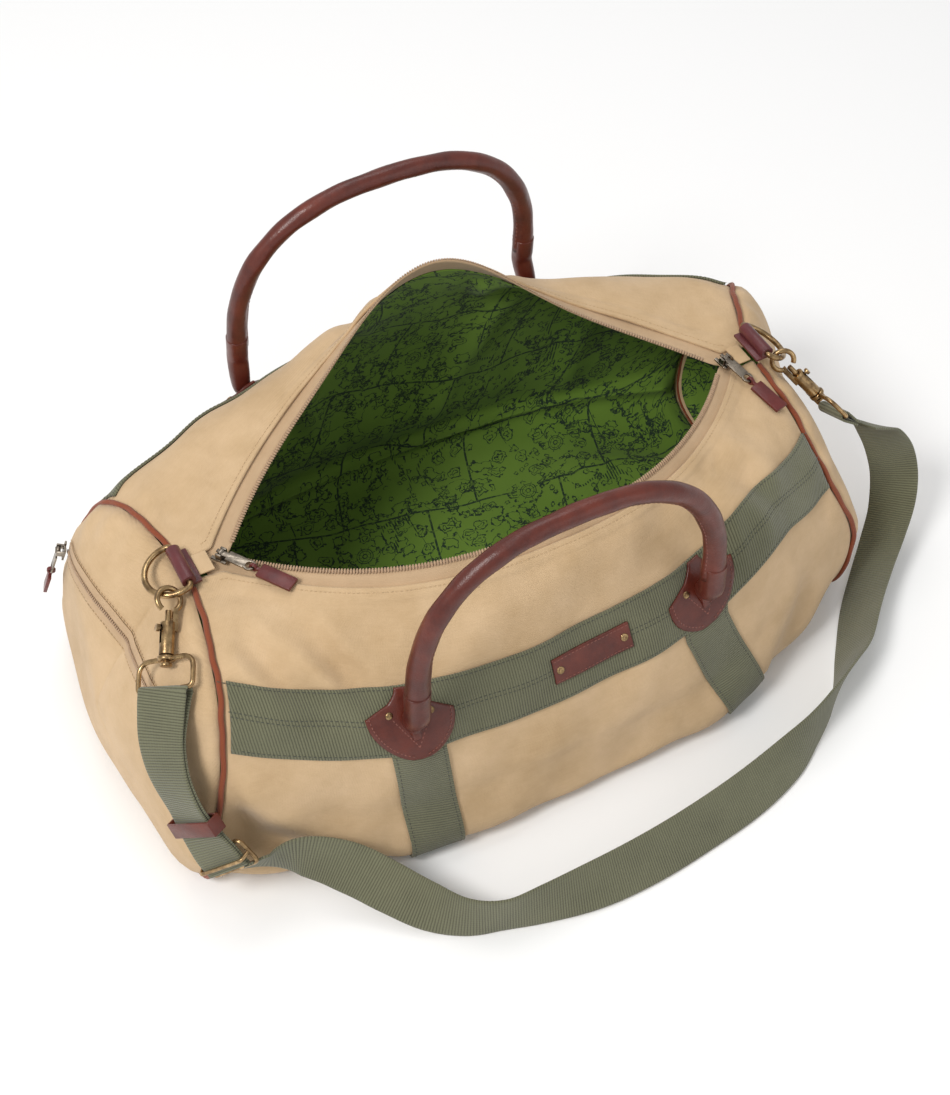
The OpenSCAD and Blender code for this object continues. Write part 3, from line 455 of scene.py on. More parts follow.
def beads(name, path, normal, mat, pitch=4.0, length=2.8, r=0.55, across=False, flat=0.7):
    """Stitches or zip teeth: one rounded grain each pitch along the path, in one mesh."""
    P = resample(path, pitch)
    s = np.linspace(0, 1, len(normal)) if np.ndim(normal) > 1 else None
    N = np.stack([np.interp(np.linspace(0, 1, len(P)), s, np.asarray(normal)[:, c]) for c in range(3)], 1) if s is not None \
        else np.broadcast_to(np.asarray(normal, float), P.shape)
    T = tangents(P)
    N = unit(N - T * (N * T).sum(1, keepdims=True))
    B = np.cross(T, N)
    if across:
        T, B = B, T
    ang = np.linspace(0, 2 * np.pi, 6, endpoint=False)
    ring = lambda x, k: [(x * length / 2, k * r * math.cos(a), k * r * flat * math.sin(a)) for a in ang]
    grain = np.array([(-length / 2, 0, 0), *ring(-0.7, 0.75), *ring(0, 1), *ring(0.7, 0.75), (length / 2, 0, 0)])
    f = [[0, 1 + (j + 1) % 6, 1 + j] for j in range(6)]
    f += [[1 + q * 6 + j, 1 + q * 6 + (j + 1) % 6, 7 + q * 6 + (j + 1) % 6, 7 + q * 6 + j] for q in (0, 1) for j in range(6)]
    f += [[13 + j, 13 + (j + 1) % 6, 19] for j in range(6)]
    V = P[:, None, :] + grain[None, :, 0, None] * T[:, None, :] + grain[None, :, 1, None] * B[:, None, :] + grain[None, :, 2, None] * N[:, None, :]
    faces = [[a + k * 20 for a in face] for k in range(len(P)) for face in f]
    return recalc(make(name, V.reshape(-1, 3), faces, mat))


# ---------------------------------------------------------------- the sewn surface (the same rule as the CAD part)

TOP_HALF, MOUTH_HALF, PEAK_X, FLOOR_Z = 226, 205, 14, 3.5
BODY = [
    ([-226, -1, 172], [-96, 184], [226, -1, 170], 2.6),
    ([-236, -62, 168], [-126, 152], [228, -50, 158], 2.4),
    ([-248, -104, 144], [-156, 108], [236, -95, 122], 2.6),
    ([-268, -128, 78], [-176, 50], [258, -116, 62], 2.4),
    ([-286, -122, 8], [-178, 6], [240, -112, 14], 2.4),
    ([-300, 0, 3], [0, 3], [246, 0, 3], 2.0),
    ([-290, 122, 10], [156, 6], [246, 104, 14], 2.4),
    ([-276, 132, 78], [168, 66], [262, 122, 72], 2.2),
    ([-256, 102, 152], [156, 160], [268, 90, 146], 2.2),
    ([-240, 60, 176], [136, 214], [248, 54, 172], 2.4),
    ([-226, 1, 172], [112, 260], [226, 1, 170], 2.2),
]


def bell(x, mid, wide):
    return np.exp(-((x - mid) / wide) ** 2)


def line_at(k, u):
    l, m, r, power = BODY[k]
    e = np.where((u < 0)[..., None], np.array(l, float), np.array(r, float))
    x = np.abs(u) * e[..., 0]
    s = np.minimum(1, np.abs(x) / MOUTH_HALF) if k in (0, 10) else np.abs(u)
    w = 1 - s ** power
    y = e[..., 1] + (m[0] - e[..., 1]) * w
    if k == 10:
        z = e[..., 2] + 22 * w + (m[1] - e[..., 2] - 22) * bell(x, PEAK_X, 84)
    elif k == 9:
        z = e[..., 2] + 20 * w + (m[1] - e[..., 2] - 20) * bell(x, PEAK_X + 6, 95)
    else:
        z = e[..., 2] + (m[1] - e[..., 2]) * w + {1: 12, 2: 24, 3: 16}.get(k, 0) * bell(x, 165, 45) * (w > 0)
    return np.stack([x, y, z], -1)


def skin(u, v):
    u, v = np.broadcast_arrays(np.asarray(u, float), np.asarray(v, float))
    L = np.stack([line_at(k, u) for k in range(11)])
    L = np.concatenate([2 * L[:1] - L[1:2], L, 2 * L[-1:] - L[-2:-1]])
    k = np.clip(np.floor(v), 0, 9).astype(int)
    t = (v - k)[..., None]
    grab = lambda q: np.take_along_axis(L, np.broadcast_to((k + q)[None, ..., None], (1, *k.shape, 3)), 0)[0]
    a, b, c, d = grab(0), grab(1), grab(2), grab(3)
    p = 0.5 * (2 * b + (c - a) * t + (2 * a - 5 * b + 4 * c - d) * t ** 2 + (3 * b - a - 3 * c + d) * t ** 3)
    p[..., 2] = np.maximum(p[..., 2], FLOOR_Z)
    return p


def skin_normal(u, v):
    h = 0.02
    u, v = np.broadcast_arrays(np.asarray(u, float), np.asarray(v, float))
    u0, u1, v0, v1 = np.maximum(-1, u - h), np.minimum(1, u + h), np.maximum(0, v - h), np.minimum(10, v + h)
    return unit(np.cross(skin(u, v1) - skin(u, v0), skin(u1, v) - skin(u0, v)))


def smooth01(x):
    x = np.clip(x, 0, 1)
    return x * x * (3 - 2 * x)


def pleat(x, v, line, depth, wide, sharp_side=1):
    """A soft valley along a polyline in (x, v*35) space: depth mm, wide mm."""
    px, py = x, v * 35.0
    best = np.full(np.broadcast(px, py).shape, 1e9)
    fade = np.ones_like(best)
    total = len(line) - 1
    for i in range(total):
        a, b = np.array(line[i], float), np.array(line[i + 1], float)
        d = b - a
        t = np.clip(((px - a[0]) * d[0] + (py - a[1]) * d[1]) / (d @ d), 0, 1)
        dist = np.hypot(px - a[0] - t * d[0], py - a[1] - t * d[1])
        f = np.sin(np.pi * np.clip((i + t) / total, 0.02, 0.98)) ** 0.6
        take = dist < best
        best, fade = np.where(take, dist, best), np.where(take, f, fade)
    q = best / wide
    return -depth * fade * (np.exp(-q ** 2) - 0.35 * np.exp(-((q - 1.6) / 0.8) ** 2))


def folds(x, v):
    """How far the cloth stands off the plain surface, mm, by place on the wrap."""
    d = 1.0 * np.sin(x / 37 + 1.3 * v) * np.sin(v * 1.9 + 0.5) + 0.8 * np.sin(x / 19 - 2.1 * v + 1) * np.sin(v * 1.3 + x / 90)
    d += 0.6 * np.sin(x / 11 + v * 3.1) * np.sin(x / 47 + v * 1.7)
    front = v < 4.2
    near_end = np.exp(-((np.abs(x) - 250) / 26) ** 2)
    d += 1.1 * near_end * np.sin(v * 9 + x / 60)
    d += np.where(front, pleat(x, v, [(-262, 95), (-225, 117), (-190, 129), (-150, 138)], 7.0, 9), 0)
    d += np.where(front, pleat(x, v, [(-232, 28), (-205, 50), (-178, 62)], 3.0, 9), 0)
    d += np.where(front, pleat(x, v, [(-190, 22), (-168, 44), (-150, 58)], 2.6, 8), 0)
    d += np.where(front, pleat(x, v, [(150, 18), (172, 40), (186, 64)], 3.0, 10), 0)
    d += np.where(front, pleat(x, v, [(120, 26), (132, 50), (128, 66)], 2.4, 8), 0)
    d += np.where(front, pleat(x, v, [(196, 96), (180, 118), (150, 132)], 3.2, 12), 0)
    d += np.where(front, pleat(x, v, [(-70, 118), (-10, 124), (60, 120)], 2.2, 12), 0)
    d += np.where(v > 6, pleat(x, v, [(-180, 235), (-60, 246), (80, 238)], 2.5, 14), 0)
    d += np.where(v > 8, pleat(x, v, [(-70, 345), (-40, 322), (-20, 300)], 2.4, 10), 0)
    d += np.where(v > 8, pleat(x, v, [(90, 345), (70, 322), (64, 300)], 2.4, 10), 0)
    calm = smooth01((v - 0.05) / 0.5) * smooth01((9.95 - v) / 0.5)
    under = smooth01((np.abs(v - 5) - 0.7) / 0.6)
    return 2.1 * d * (0.3 + 0.7 * calm) * under * smooth01((1.0 - np.abs(x) / 246) * 14 + 0.05)


def wrap(u, v, lift):
    p = skin(u, v)
    x = np.asarray(u) * 246.0 + 0 * p[..., 0]
    q = p + skin_normal(u, v) * (lift + folds(x, np.broadcast_to(v, x.shape)))[..., None]
    q[..., 2] = np.maximum(q[..., 2], 0.3)
    return q


def u_of(x, v):
    e = np.abs(skin(np.where(np.asarray(x) < 0, -1.0, 1.0), v)[..., 0])
    return np.asarray(x) / e


def v_down(x, v0, b):
    """v of a place b mm below the middle of the band on the front (v0 = 2) or the back (v0 = 8)."""
    u = u_of(x, np.full(np.shape(x), float(v0)))
    step = np.linalg.norm(skin(u, v0 + 0.5) - skin(u, v0 - 0.5), axis=-1)
    climb = 6 + 8 * smooth01((np.asarray(x) + 100) / 200) if v0 < 5 else 0.0
    return v0 + (1 if v0 < 5 else -1) * (b - climb) / step


def dome(side, r, v, lift=0.0, bulge=0.0):
    r, v = np.broadcast_arrays(np.asarray(r, float), np.asarray(v, float))
    c = np.array([-278 if side < 0 else 254, 0, 72.0])

    def at(r, v):
        e = skin(np.full(r.shape, float(side)), np.mod(v, 10.0))
        p = c + (e - c) * r[..., None]
        p[..., 0] += side * ((25 if side < 0 else 22) + 0.065 * p[..., 2]) * np.maximum(0, 1 - r * r) ** 0.45
        p[..., 2] = np.maximum(p[..., 2], FLOOR_Z)
        return p
    h = 0.02
    r0, r1 = np.maximum(0.02, r - h), np.minimum(1, r + h)
    v0, v1 = np.clip(v - h, 0, 9.999), np.clip(v + h, 0, 9.999)
    n = side * unit(np.cross(at(r1, v) - at(r0, v), at(r, v1) - at(r, v0)))
    p = at(r, v)
    soft = (1.6 * np.sin(p[..., 1] / 23 + p[..., 2] / 31) + 1.1 * np.sin(p[..., 1] / 41 - p[..., 2] / 17 + 1)) * (1 - r ** 4)
    pucker = 1.0 * np.sin(v * 11) * np.exp(-((r - 0.93) / 0.07) ** 2)
    q = p + n * (lift + soft + pucker)[..., None]
    q[..., 2] = np.maximum(q[..., 2], 0.3)
    return q, n


def along(P, axis):
    d = np.linalg.norm(np.diff(P, axis=axis), axis=-1)
    z = np.zeros_like(np.take(d, [0], axis=axis))
    return np.concatenate([z, np.cumsum(d, axis=axis)], axis=axis)


def grid_uv(P):
    """UV in metres, along and across a grid of points."""
    return np.stack([along(P, 1), along(P, 0)], -1) * MM


def ride(o, body, *nodes, slot=None):
    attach(o, body)
    if nodes:
        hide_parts(*nodes)
    return o


# ---------------------------------------------------------------- canvas panels and lining

U = np.concatenate([[-1.0], np.linspace(-0.99, 0.99, 190), [1.0]])


def hem(v):
    return 0.9 * (1 - smooth01((np.minimum(v, 10 - v) - 0.30) / 0.08))


def panel(name, v0, v1, rows, node):
    V = np.linspace(v0, v1, rows)
    uu, vv = np.meshgrid(U, V)
    out = wrap(uu, vv, 1.2 + hem(vv))
    out = out - skin_normal(uu, vv) * (0.9 * (np.abs(uu) > 0.999))[..., None]
    inn = wrap(uu, vv, np.full(uu.shape, -0.2))
    return ride(shell(name, out, inn, MAT["canvas"], grid_uv(out)), "bag", node, slot="canvas")


panel("canvas_front", 0.12, 4.0, 130, "front_panel")
panel("canvas_bottom", 4.0, 6.0, 40, "bottom_panel")
panel("canvas_back", 6.0, 9.88, 130, "back_panel")

LINE_U = np.linspace(-0.992, 0.992, 172)


def lining_wrap():
    V = np.concatenate([np.linspace(0.2, 3.6, 60), np.linspace(3.65, 6.35, 50), np.linspace(6.4, 9.8, 80)])
    uu, vv = np.meshgrid(LINE_U, V)
    p, n = skin(uu, vv), skin_normal(uu, vv)
    x = uu * 246
    sag = 2.4 + 1.6 * (1 + np.sin(x / 29 + vv * 1.7) * np.sin(vv * 2.3 + x / 70))
    sag += np.where(vv > 5, 1.0, 0.6) * 5.0 * np.exp(-((x - 60 - 40 * (vv - 7.5)) / 13) ** 2) * bell(vv, 7.6, 1.1)
    sag += 5.5 * np.exp(-((x + 70 + 26 * (vv - 7.5)) / 12) ** 2) * bell(vv, 7.9, 1.0)
    sag += 6.0 * np.exp(-((x + 150 - 20 * (vv - 7.5)) / 14) ** 2) * bell(vv, 7.6, 1.2)
    sag += 4.5 * np.exp(-((x - 150 - 10 * (vv - 7)) / 14) ** 2) * bell(vv, 7.4, 1.2)
    sag += 13.0 * bell(vv, 6.25, 0.14) * (0.75 + 0.25 * np.sin(x / 33)) + 5.0 * bell(vv, 5.1 + 0.4 * np.sin(x / 80), 0.10)
    sag += 6.0 * bell(vv, 4.05, 0.2)
    edge = smooth01((np.minimum(vv, 10 - vv) - 0.15) / 0.9) * smooth01((1 - np.abs(uu)) / 0.05)
    sag = 2.2 + sag * edge - np.minimum(0, folds(x, vv))
    out = p - n * sag[..., None]
    inn = p - n * (sag - 0.7)[..., None]
    o = shell("lining_wrap", out, inn, MAT["lining"], grid_uv(out))
    return ride(o, "bag", "lining", slot="lining")


lining_wrap()


def dome_grid(side, lift, r1, rings=26, sides=150):
    r = np.linspace(0.0001, r1, rings) ** 0.8 * r1 ** 0.2
    v = np.linspace(0, 9.999, sides)
    rr, vv = np.meshgrid(r, v, indexing="ij")
    P = dome(side, rr, vv, lift)[0]
    P[0] = P[0].mean(0)
    P[:, -1] = P[:, 0] = (P[:, 0] + P[:, -1]) / 2
    return P


def end_panel(name, side, lift0, lift1, r1, mat, node=None, slot=None):
    A, B = dome_grid(side, lift1, r1), dome_grid(side, lift0, r1)
    uv = np.stack([A[..., 1], A[..., 2]], -1) * MM
    o = shell(name, A, B, mat, uv)
    bm = bmesh.new()
    bm.from_mesh(o.data)
    bmesh.ops.remove_doubles(bm, verts=bm.verts, dist=1e-6)
    bm.to_mesh(o.data)
    bm.free()
    return ride(o, "bag", *([node] if node else []), slot=slot)


for s, side in ((-1, "left"), (1, "right")):
    end_panel(side + "_end_canvas", s, 0.0, 1.2, 0.998, MAT["canvas"], side + "_end_panel", "canvas")
    end_panel(side + "_end_lining", s, -2.6, -2.0, 0.99, MAT["lining"], None, "lining")
end_panel("pocket_bag", -1, -5.6, -5.0, 0.62, MAT["lining"], "pocket_liner", "lining")


# ---------------------------------------------------------------- piping

for s, side in ((-1, "left"), (1, "right")):
    v = np.linspace(0.22, 9.78, 260)
    e = np.full(v.shape, float(s))
    path = skin(e, v) + 1.7 * (skin_normal(e, v) + 0.6 * np.array([s, 0, 0]))
    path += (0.5 * np.sin(v * 7) + 0.3 * np.sin(v * 17))[:, None] * np.array([s, 0, 0.3])
    path[:, 2] = np.maximum(path[:, 2], 2.6)
    ride(sweep(side + "_piping_cord", tube(path, 2.0, (s, 0, 0), 12), MAT["piping"]), "bag", side + "_piping", slot="piping")


# ---------------------------------------------------------------- bands and straps under the body

def laid(name, xs, bs, v0, lift, thick, mat, node, slot, body="bag", round_edge=0.5):
    """A strip laid on the wrap: xs along the body, bs down from line v0, both grids in mm."""
    vv = v_down(xs, v0, bs)
    uu = u_of(xs, vv)
    top = np.full(xs.shape, lift + thick)
    top[0], top[-1] = lift + thick * round_edge, lift + thick * round_edge
    A, B = wrap(uu, vv, top), wrap(uu, vv, np.full(xs.shape, lift))
    o = shell(name, A, B, mat, np.stack([xs, bs], -1) * MM)
    return ride(o, body, *([node] if node else []), slot=slot)


def surface_path(xs, bs, v0, lift):
    vv = v_down(xs, v0, bs)
    uu = u_of(xs, vv)
    return wrap(uu, vv, np.full(np.shape(xs), float(lift))), skin_normal(uu, vv)


def stitch_line(name, xs, bs, v0, lift, mat, **k):
    p, n = surface_path(np.asarray(xs, float), np.asarray(bs, float), v0, lift)
    return ride(beads(name, p, n, mat, **k), "bag")


WEB_IN, WEB_OUT = 1.7, 3.5
for v0, side in ((2, "front"), (8, "back")):
    ex = (abs(BODY[v0][0][0]) * 0.985, BODY[v0][2][0] * 0.985)
    b = np.concatenate([[-25], np.linspace(-24.4, 24.4, 20), [25]])
    xs, bs = np.meshgrid(np.linspace(-ex[0], ex[1], 200), b)
    for s, k in ((-1, 0), (1, 2)):
        reach = np.abs(skin(np.full(xs.shape, float(s)), v_down(xs, v0, bs))[..., 0]) * 0.985
        xs = np.where(xs * s > 0, xs * reach / ex[k // 2], xs)
    laid(side + "_webbing_band", xs, bs, v0, WEB_IN, 1.8, MAT["webbing"], side + "_band", "webbing")
    line = np.linspace(-ex[0] + 2, ex[1] - 2, 240)
    for k, b0 in enumerate((-1.6, 1.6, -22.5, 22.5)):
        stitch_line(f"{side}_band_stitch_{k}", line, np.full(line.shape, b0), v0, WEB_OUT + 0.05, MAT["thread_dark"],
                    pitch=3.4, length=2.5, r=0.42, flat=0.5)

POSTS = {2: (-133, 95), 8: (-122, 118)}
FOOT_X = (-134, 130)
for k, side in enumerate(("left", "right")):
    x_low = FOOT_X[k]
    v0, v1 = float(v_down(np.array(POSTS[2][k]), 2, 24.0)), float(v_down(np.array(POSTS[8][k]), 8, 24.0))
    V = np.linspace(v0, v1, 150)
    x_top = np.where(V < 5, POSTS[2][k], POSTS[8][k])[:, None]
    d = np.concatenate([[-19], np.linspace(-18.5, 18.5, 14), [19]])
    dd, vv = np.meshgrid(d, V)
    mid = x_top + (x_low - x_top) * np.clip(1 - (np.abs(vv - 5) - 1) / 1.7, 0, 1)
    uu = u_of(mid + dd, vv)
    low = 1.65 + 0 * vv
    A, B = wrap(uu, vv, low + 1.75), wrap(uu, vv, low)
    A[..., 2], B[..., 2] = np.maximum(A[..., 2], 0.05), np.maximum(B[..., 2], 0.15)
    uv = np.stack([along(A, 0), np.broadcast_to(d, vv.shape)], -1) * MM
    ride(shell(side + "_base_strap", A, B, MAT["webbing"], uv), "bag", side + "_under_strap", slot="webbing")
    for q, off in enumerate((-16.5, 16.5)):
        Vs = np.linspace(v0 + 0.05, 3.9, 60)
        ms = POSTS[2][k] + (x_low - POSTS[2][k]) * np.clip(1 - (np.abs(Vs - 5) - 1) / 1.7, 0, 1) + off
        us = u_of(ms, Vs)
        ride(beads(f"{side}_base_strap_stitch_{q}", wrap(us, Vs, np.full(Vs.shape, 3.45)), skin_normal(us, Vs), MAT["thread_dark"],
                   pitch=3.6, length=2.6, r=0.4, flat=0.5), "bag")


# ---------------------------------------------------------------- chapes, rivets and the label patch

def chape_half(b):
    b = np.asarray(b, float)
    neck = 5 + 8 * np.clip((b + 24) / 12, 0, 1) ** 1.6
    flare = 13 + 17 * (b + 12) / 9
    round_ = 30 * np.maximum(0.0, 1 - np.clip((b + 3) / 31, 0, 1) ** 2.3) ** 0.55
    return np.where(b < -12, neck, np.where(b < -3, flare, round_))


def rivet_mesh(name, x, b, v0, r, lift, body="bag", hollow=False):
    p, n = surface_path(np.array([x], float), np.array([b], float), v0, lift)
    p, n = p[0], n[0]
    a = unit(np.cross(n, [0, 0, 1.0]))
    c = np.cross(n, a)
    prof = [(r * 1.0, -0.3), (r * 1.02, 0.35), (r * 0.9, 0.85), (r * 0.6, 1.15), (r * 0.25, 1.3), (0.02, 1.32)]
    if hollow:
        prof = [(r * 1.0, -0.2), (r * 1.02, 0.3), (r * 0.85, 0.75), (r * 0.6, 0.7), (r * 0.45, 0.2), (0.02, 0.15)]
    ang = np.linspace(0, 2 * np.pi, 24, endpoint=False)
    rings = [[p + n * h + q * (math.cos(t) * a + math.sin(t) * c) for t in ang] for q, h in prof]
    return rings


def rivets(name, spots, r, lift, node, hollow=False):
    """spots: (x, b, v0)"""
    verts, faces = [], []
    for x, b, v0 in spots:
        rings = rivet_mesh(name, x, b, v0, r, lift, hollow=hollow)
        base = len(verts)
        verts += [q for ring in rings for q in ring]
        for i in range(len(rings) - 1):
            for j in range(24):
                k = (j + 1) % 24
                faces.append([base + i * 24 + j, base + i * 24 + k, base + i * 24 + 24 + k, base + i * 24 + 24 + j])
        faces.append([base + (len(rings) - 1) * 24 + j for j in range(24)])
    return ride(recalc(make(name, verts, faces, MAT["brass"])), "bag", node, slot="antique_brass")


CHAPE_IN, CHAPE_OUT = 3.7, 5.5
for v0, side in ((2, "front"), (8, "back")):
    for k, hand in enumerate(("left", "right")):
        x0 = POSTS[v0][k]
        b = np.concatenate([np.linspace(-24, -13, 8), np.linspace(-12, -3, 12), np.linspace(-2.4, 28, 34)])
        s = np.concatenate([[-1], np.linspace(-0.965, 0.965, 22), [1]])
        ss, bb = np.meshgrid(s, b)
        xs = x0 + ss * chape_half(bb)
        vv = v_down(xs, v0, bb)
        uu = u_of(xs, vv)
        puff = CHAPE_OUT + 0.6 * (1 - np.abs(ss) ** 6) * smooth01((28 - bb) / 8) - 0.7 * (np.abs(ss) > 0.99) - 0.7 * (bb > 27.5)
        A, B = wrap(uu, vv, puff), wrap(uu, vv, np.full(xs.shape, CHAPE_IN))
        o = shell(f"{hand}_{side}_handle_chape", A, B, MAT["leather"], np.stack([xs, bb], -1) * MM)
        ride(o, "bag", f"{hand}_{side}_chape", slot="leather")
        bs = np.linspace(-3.5, 24.5, 60)
        for q in (-1, 1):
            line = x0 + q * (np.maximum(chape_half(bs + 2.2) - 2.6, 0.5))
            stitch_line(f"{hand}_{side}_chape_edge_{q + 1}", line, bs, v0, CHAPE_OUT + 0.5, MAT["thread_red"],
                        pitch=3.0, length=2.0, r=0.42, flat=0.6)
        t = np.linspace(0, 1, 30)
        for q in (-1, 1):
            stitch_line(f"{hand}_{side}_chape_v_{q + 1}", x0 + q * (12 - 11.6 * t), -1 + 19 * t, v0, CHAPE_OUT + 0.6, MAT["thread_red"],
                        pitch=3.0, length=2.0, r=0.42, flat=0.6)
    rivets(f"{side}_chape_rivets", [(x + d, -5.0, v0) for x in POSTS[v0] for d in (-14, 14)], 2.6, CHAPE_OUT + 0.5, f"{side}_handle_rivets")

xs, bs = np.meshgrid(np.concatenate([[-31], np.linspace(-30.4, 30.4, 30), [31]]) + 2, np.concatenate([[-10], np.linspace(-9.4, 9.4, 10), [10]]))
laid("blank_label_patch", xs, bs, 2, CHAPE_IN, 1.9, MAT["leather"], "label_patch", "leather")
for k, b0 in enumerate((-8, 8)):
    line = np.linspace(-27, 31, 40)
    stitch_line(f"label_stitch_{k}", line, np.full(line.shape, float(b0)), 2, CHAPE_IN + 2.0, MAT["thread_red"], pitch=3, length=2, r=0.35)
rivets("label_patch_rivets", [(-24, 0, 2), (28, 0, 2)], 2.9, CHAPE_IN + 1.8, "label_rivets", hollow=True)


# ---------------------------------------------------------------- handles

RISE = 146
HINGE = {"front": (-157, 134), "back": (161, 180)}
MIDDLE, SPAN = {"front": -19, "back": -2}, {"front": 228, "back": 240}
LEAN = {"front": 0.0, "back": math.radians(7)}


def arch(side):
    """Centre line of a grip, leaning as it stands at rest."""
    y0, z0 = HINGE[side]
    a = np.radians(np.concatenate([[0], np.linspace(6, 174, 80), [180]]))
    x = MIDDLE[side] - SPAN[side] / 2 * np.sign(np.cos(a)) * np.abs(np.cos(a)) ** (2 / 2.5)
    z = 20 + (RISE - 20) * np.sin(a) ** (2 / 2.5)
    t = LEAN[side]
    return np.stack([x, y0 - z * math.sin(t), z0 + z * math.cos(t)], 1)


for side in ("front", "back"):
    y0, z0 = HINGE[side]
    v0 = 2 if side == "front" else 8
    body = side + "_handle"
    path = resample(arch(side), 5.0)
    n = len(path)
    s = np.linspace(0, 1, n)
    thick = (8.3, 7.0) if side == "front" else (7.4, 6.6)
    radius = thick[1] + (thick[0] - thick[1]) * np.abs(2 * s - 1) ** 2.5 + 0.15 * np.sin(s * 40) + 0.12 * np.sin(s * 93)
    rings = tube(path, radius, (0, 1, 0), 28)
    inner = unit(np.array([MIDDLE[side], y0, z0 + 60.0]) - path)
    t = tangents(path)
    inner = unit(inner - t * (inner * t).sum(1, keepdims=True))
    rel = rings - path[:, None, :]
    toward = np.maximum(0, (unit(rel) * inner[:, None, :]).sum(-1)) ** 12
    rings = rings + inner[:, None, :] * (toward * 1.9)[..., None]
    creases = 0.16 * np.sin(np.linspace(0, 2 * np.pi, 28, endpoint=False)[None, :] * 3 + s[:, None] * 60)
    rings = rings + unit(rel) * creases[..., None]
    ride(sweep(side + "_rolled_grip", rings, MAT["leather"]), body, side + "_handle", side + "_handle_core", slot="leather")
    for k, off in enumerate((-2.4, 2.4)):
        seam = path + inner * (radius + 0.5)[:, None] + np.array([0, off, 0])
        ride(beads(f"{side}_grip_stitch_{k}", seam[2:-2], inner[2:-2] + np.array([0, off / 3, 0]), MAT["thread_red"], pitch=4.2, length=3.0, r=0.45), body)
    for k, hand in enumerate(("left", "right")):
        x0 = POSTS[v0][k]
        end, nxt = (path[0], path[1]) if k == 0 else (path[-1], path[-2])
        up = unit(nxt - end)
        line_b = float(skin(u_of(x0, float(v0)), v_down(np.array(float(x0)), v0, 0.0))[..., 2])
        lean = 4.0 if side == "front" else 6.0
        drop = np.array([line_b - (z0 - c) for c in (32.0, 25.0, 18.0)])
        low, ln = surface_path(np.full(3, float(x0)), np.minimum(drop, (13.0, 6.0, -1.0)), v0, CHAPE_OUT + 0.8)
        low = low + ln * np.array([0.0, 1.5, lean])[:, None]
        line = catmull(np.array([*low, end - up * 14, end - up * 3, end + up * 5, end + up * 12]), 7)
        m = len(line)
        f = smooth01((np.linspace(0, 1, m) - 0.04) / 0.42)
        tt = tangents(line)
        wide = np.array([1.0, 0, 0])
        face = unit(np.cross(tt, wide))
        ang = np.linspace(0, 2 * np.pi, 28, endpoint=False)
        ca, sa = np.cos(ang), np.sin(ang)
        half_w = 3.0 * (1 - f) + (thick[0] + 0.35) * f
        half_h = 0.8 * (1 - f) + (thick[0] + 0.35) * f
        cx = np.sign(ca) * np.abs(ca) ** 0.8
        cy = np.sign(sa) * np.abs(sa) ** 0.9
        R = line[:, None, :] + (half_w[:, None] * cx[None])[..., None] * wide + (half_h[:, None] * cy[None])[..., None] * face[:, None, :]
        o = sweep(f"{hand}_{side}_handle_neck", R, MAT["leather"])
        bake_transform(o)


# ---------------------------------------------------------------- mouth zip

def rim(v_edge, out):
    """Points along a mouth edge, moved out mm off the edge."""
    u = np.linspace(-0.955, 0.955, 220)
    v = np.full(u.shape, float(v_edge))
    p = skin(u, v)
    inward = 1 if v_edge < 5 else -1
    d = unit(skin(u, v + inward * 0.06) - p)
    return p - d * out, skin_normal(u, v)


for v_edge, side in ((0.0, "front"), (10.0, "back")):
    inward = 1 if v_edge < 5 else -1
    cols = []
    u = np.linspace(-0.955, 0.955, 220)
    for q in np.linspace(-7, 14, 9):
        base, nn = rim(v_edge, max(0.0, -q)) if q < 0 else (None, None)
        if q >= 0:
            v = np.full(u.shape, v_edge + inward * q / 36)
            base, nn = skin(u, v), skin_normal(u, v)
        ease = smooth01((np.abs(u) - 0.86) / 0.09)[:, None]
        if q < 0:
            flat, _ = rim(v_edge, 0.0)
            base = base * (1 - ease) + flat * ease
        cols.append(base - nn * (0.6 + 0.35 * math.sin(q)))
    P = np.array(cols)
    Q = P - skin_normal(u, np.full(u.shape, v_edge))[None] * 0.7
    ride(shell(side + "_zip_tape_cloth", P, Q, MAT["tape"], grid_uv(P)), "bag", side + "_zip_tape", slot="zip_tape")
    keep = slice(12, -12)
    edge, nn = rim(v_edge, 6.2)
    ride(beads(side + "_zip_teeth", (edge + nn * 0.1)[keep], nn[keep], MAT["coil"], pitch=2.1, length=4.2, r=0.95, across=True, flat=0.9),
         "bag", side + "_zip_coil", slot="zip_tape")
    for k, dist in enumerate((0.2,)):
        v = np.full(u.shape, v_edge + inward * dist)
        lift = 1.2 + hem(v) + 0.1
        ride(beads(f"{side}_rim_stitch_{k}", wrap(u, v, lift)[4:-4], skin_normal(u, v)[4:-4], MAT["thread"], pitch=3.2, length=2.4, r=0.34), "bag")


# ---------------------------------------------------------------- dressed hardware: CAD shapes with softened edges

def dress(node, body, mat, name, bevel=0.25, slot=None, angle=32):
    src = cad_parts[node]
    me = src.data.copy()
    me.name = name
    bm = bmesh.new()
    bm.from_mesh(me)
    bmesh.ops.remove_doubles(bm, verts=bm.verts, dist=1e-6)
    bmesh.ops.dissolve_limit(bm, angle_limit=math.radians(2), verts=bm.verts, edges=bm.edges)
    bm.to_mesh(me)
    bm.free()
    me.materials.clear()
    me.materials.append(mat)
    o = bpy.data.objects.new(name, me)
    bpy.context.collection.objects.link(o)
    if bevel:
        mod = o.modifiers.new("soft edge", "BEVEL")
        mod.width, mod.segments, mod.limit_method, mod.angle_limit = bevel * MM, 2, "ANGLE", math.radians(angle)
        dg = bpy.context.evaluated_depsgraph_get()
        done = bpy.data.meshes.new_from_object(o.evaluated_get(dg))
        o.modifiers.clear()
        o.data = done
    o.data.polygons.foreach_set("use_smooth", [True] * len(o.data.polygons))
    sharp(o, 40)
    return ride(o, body, node, slot=slot)


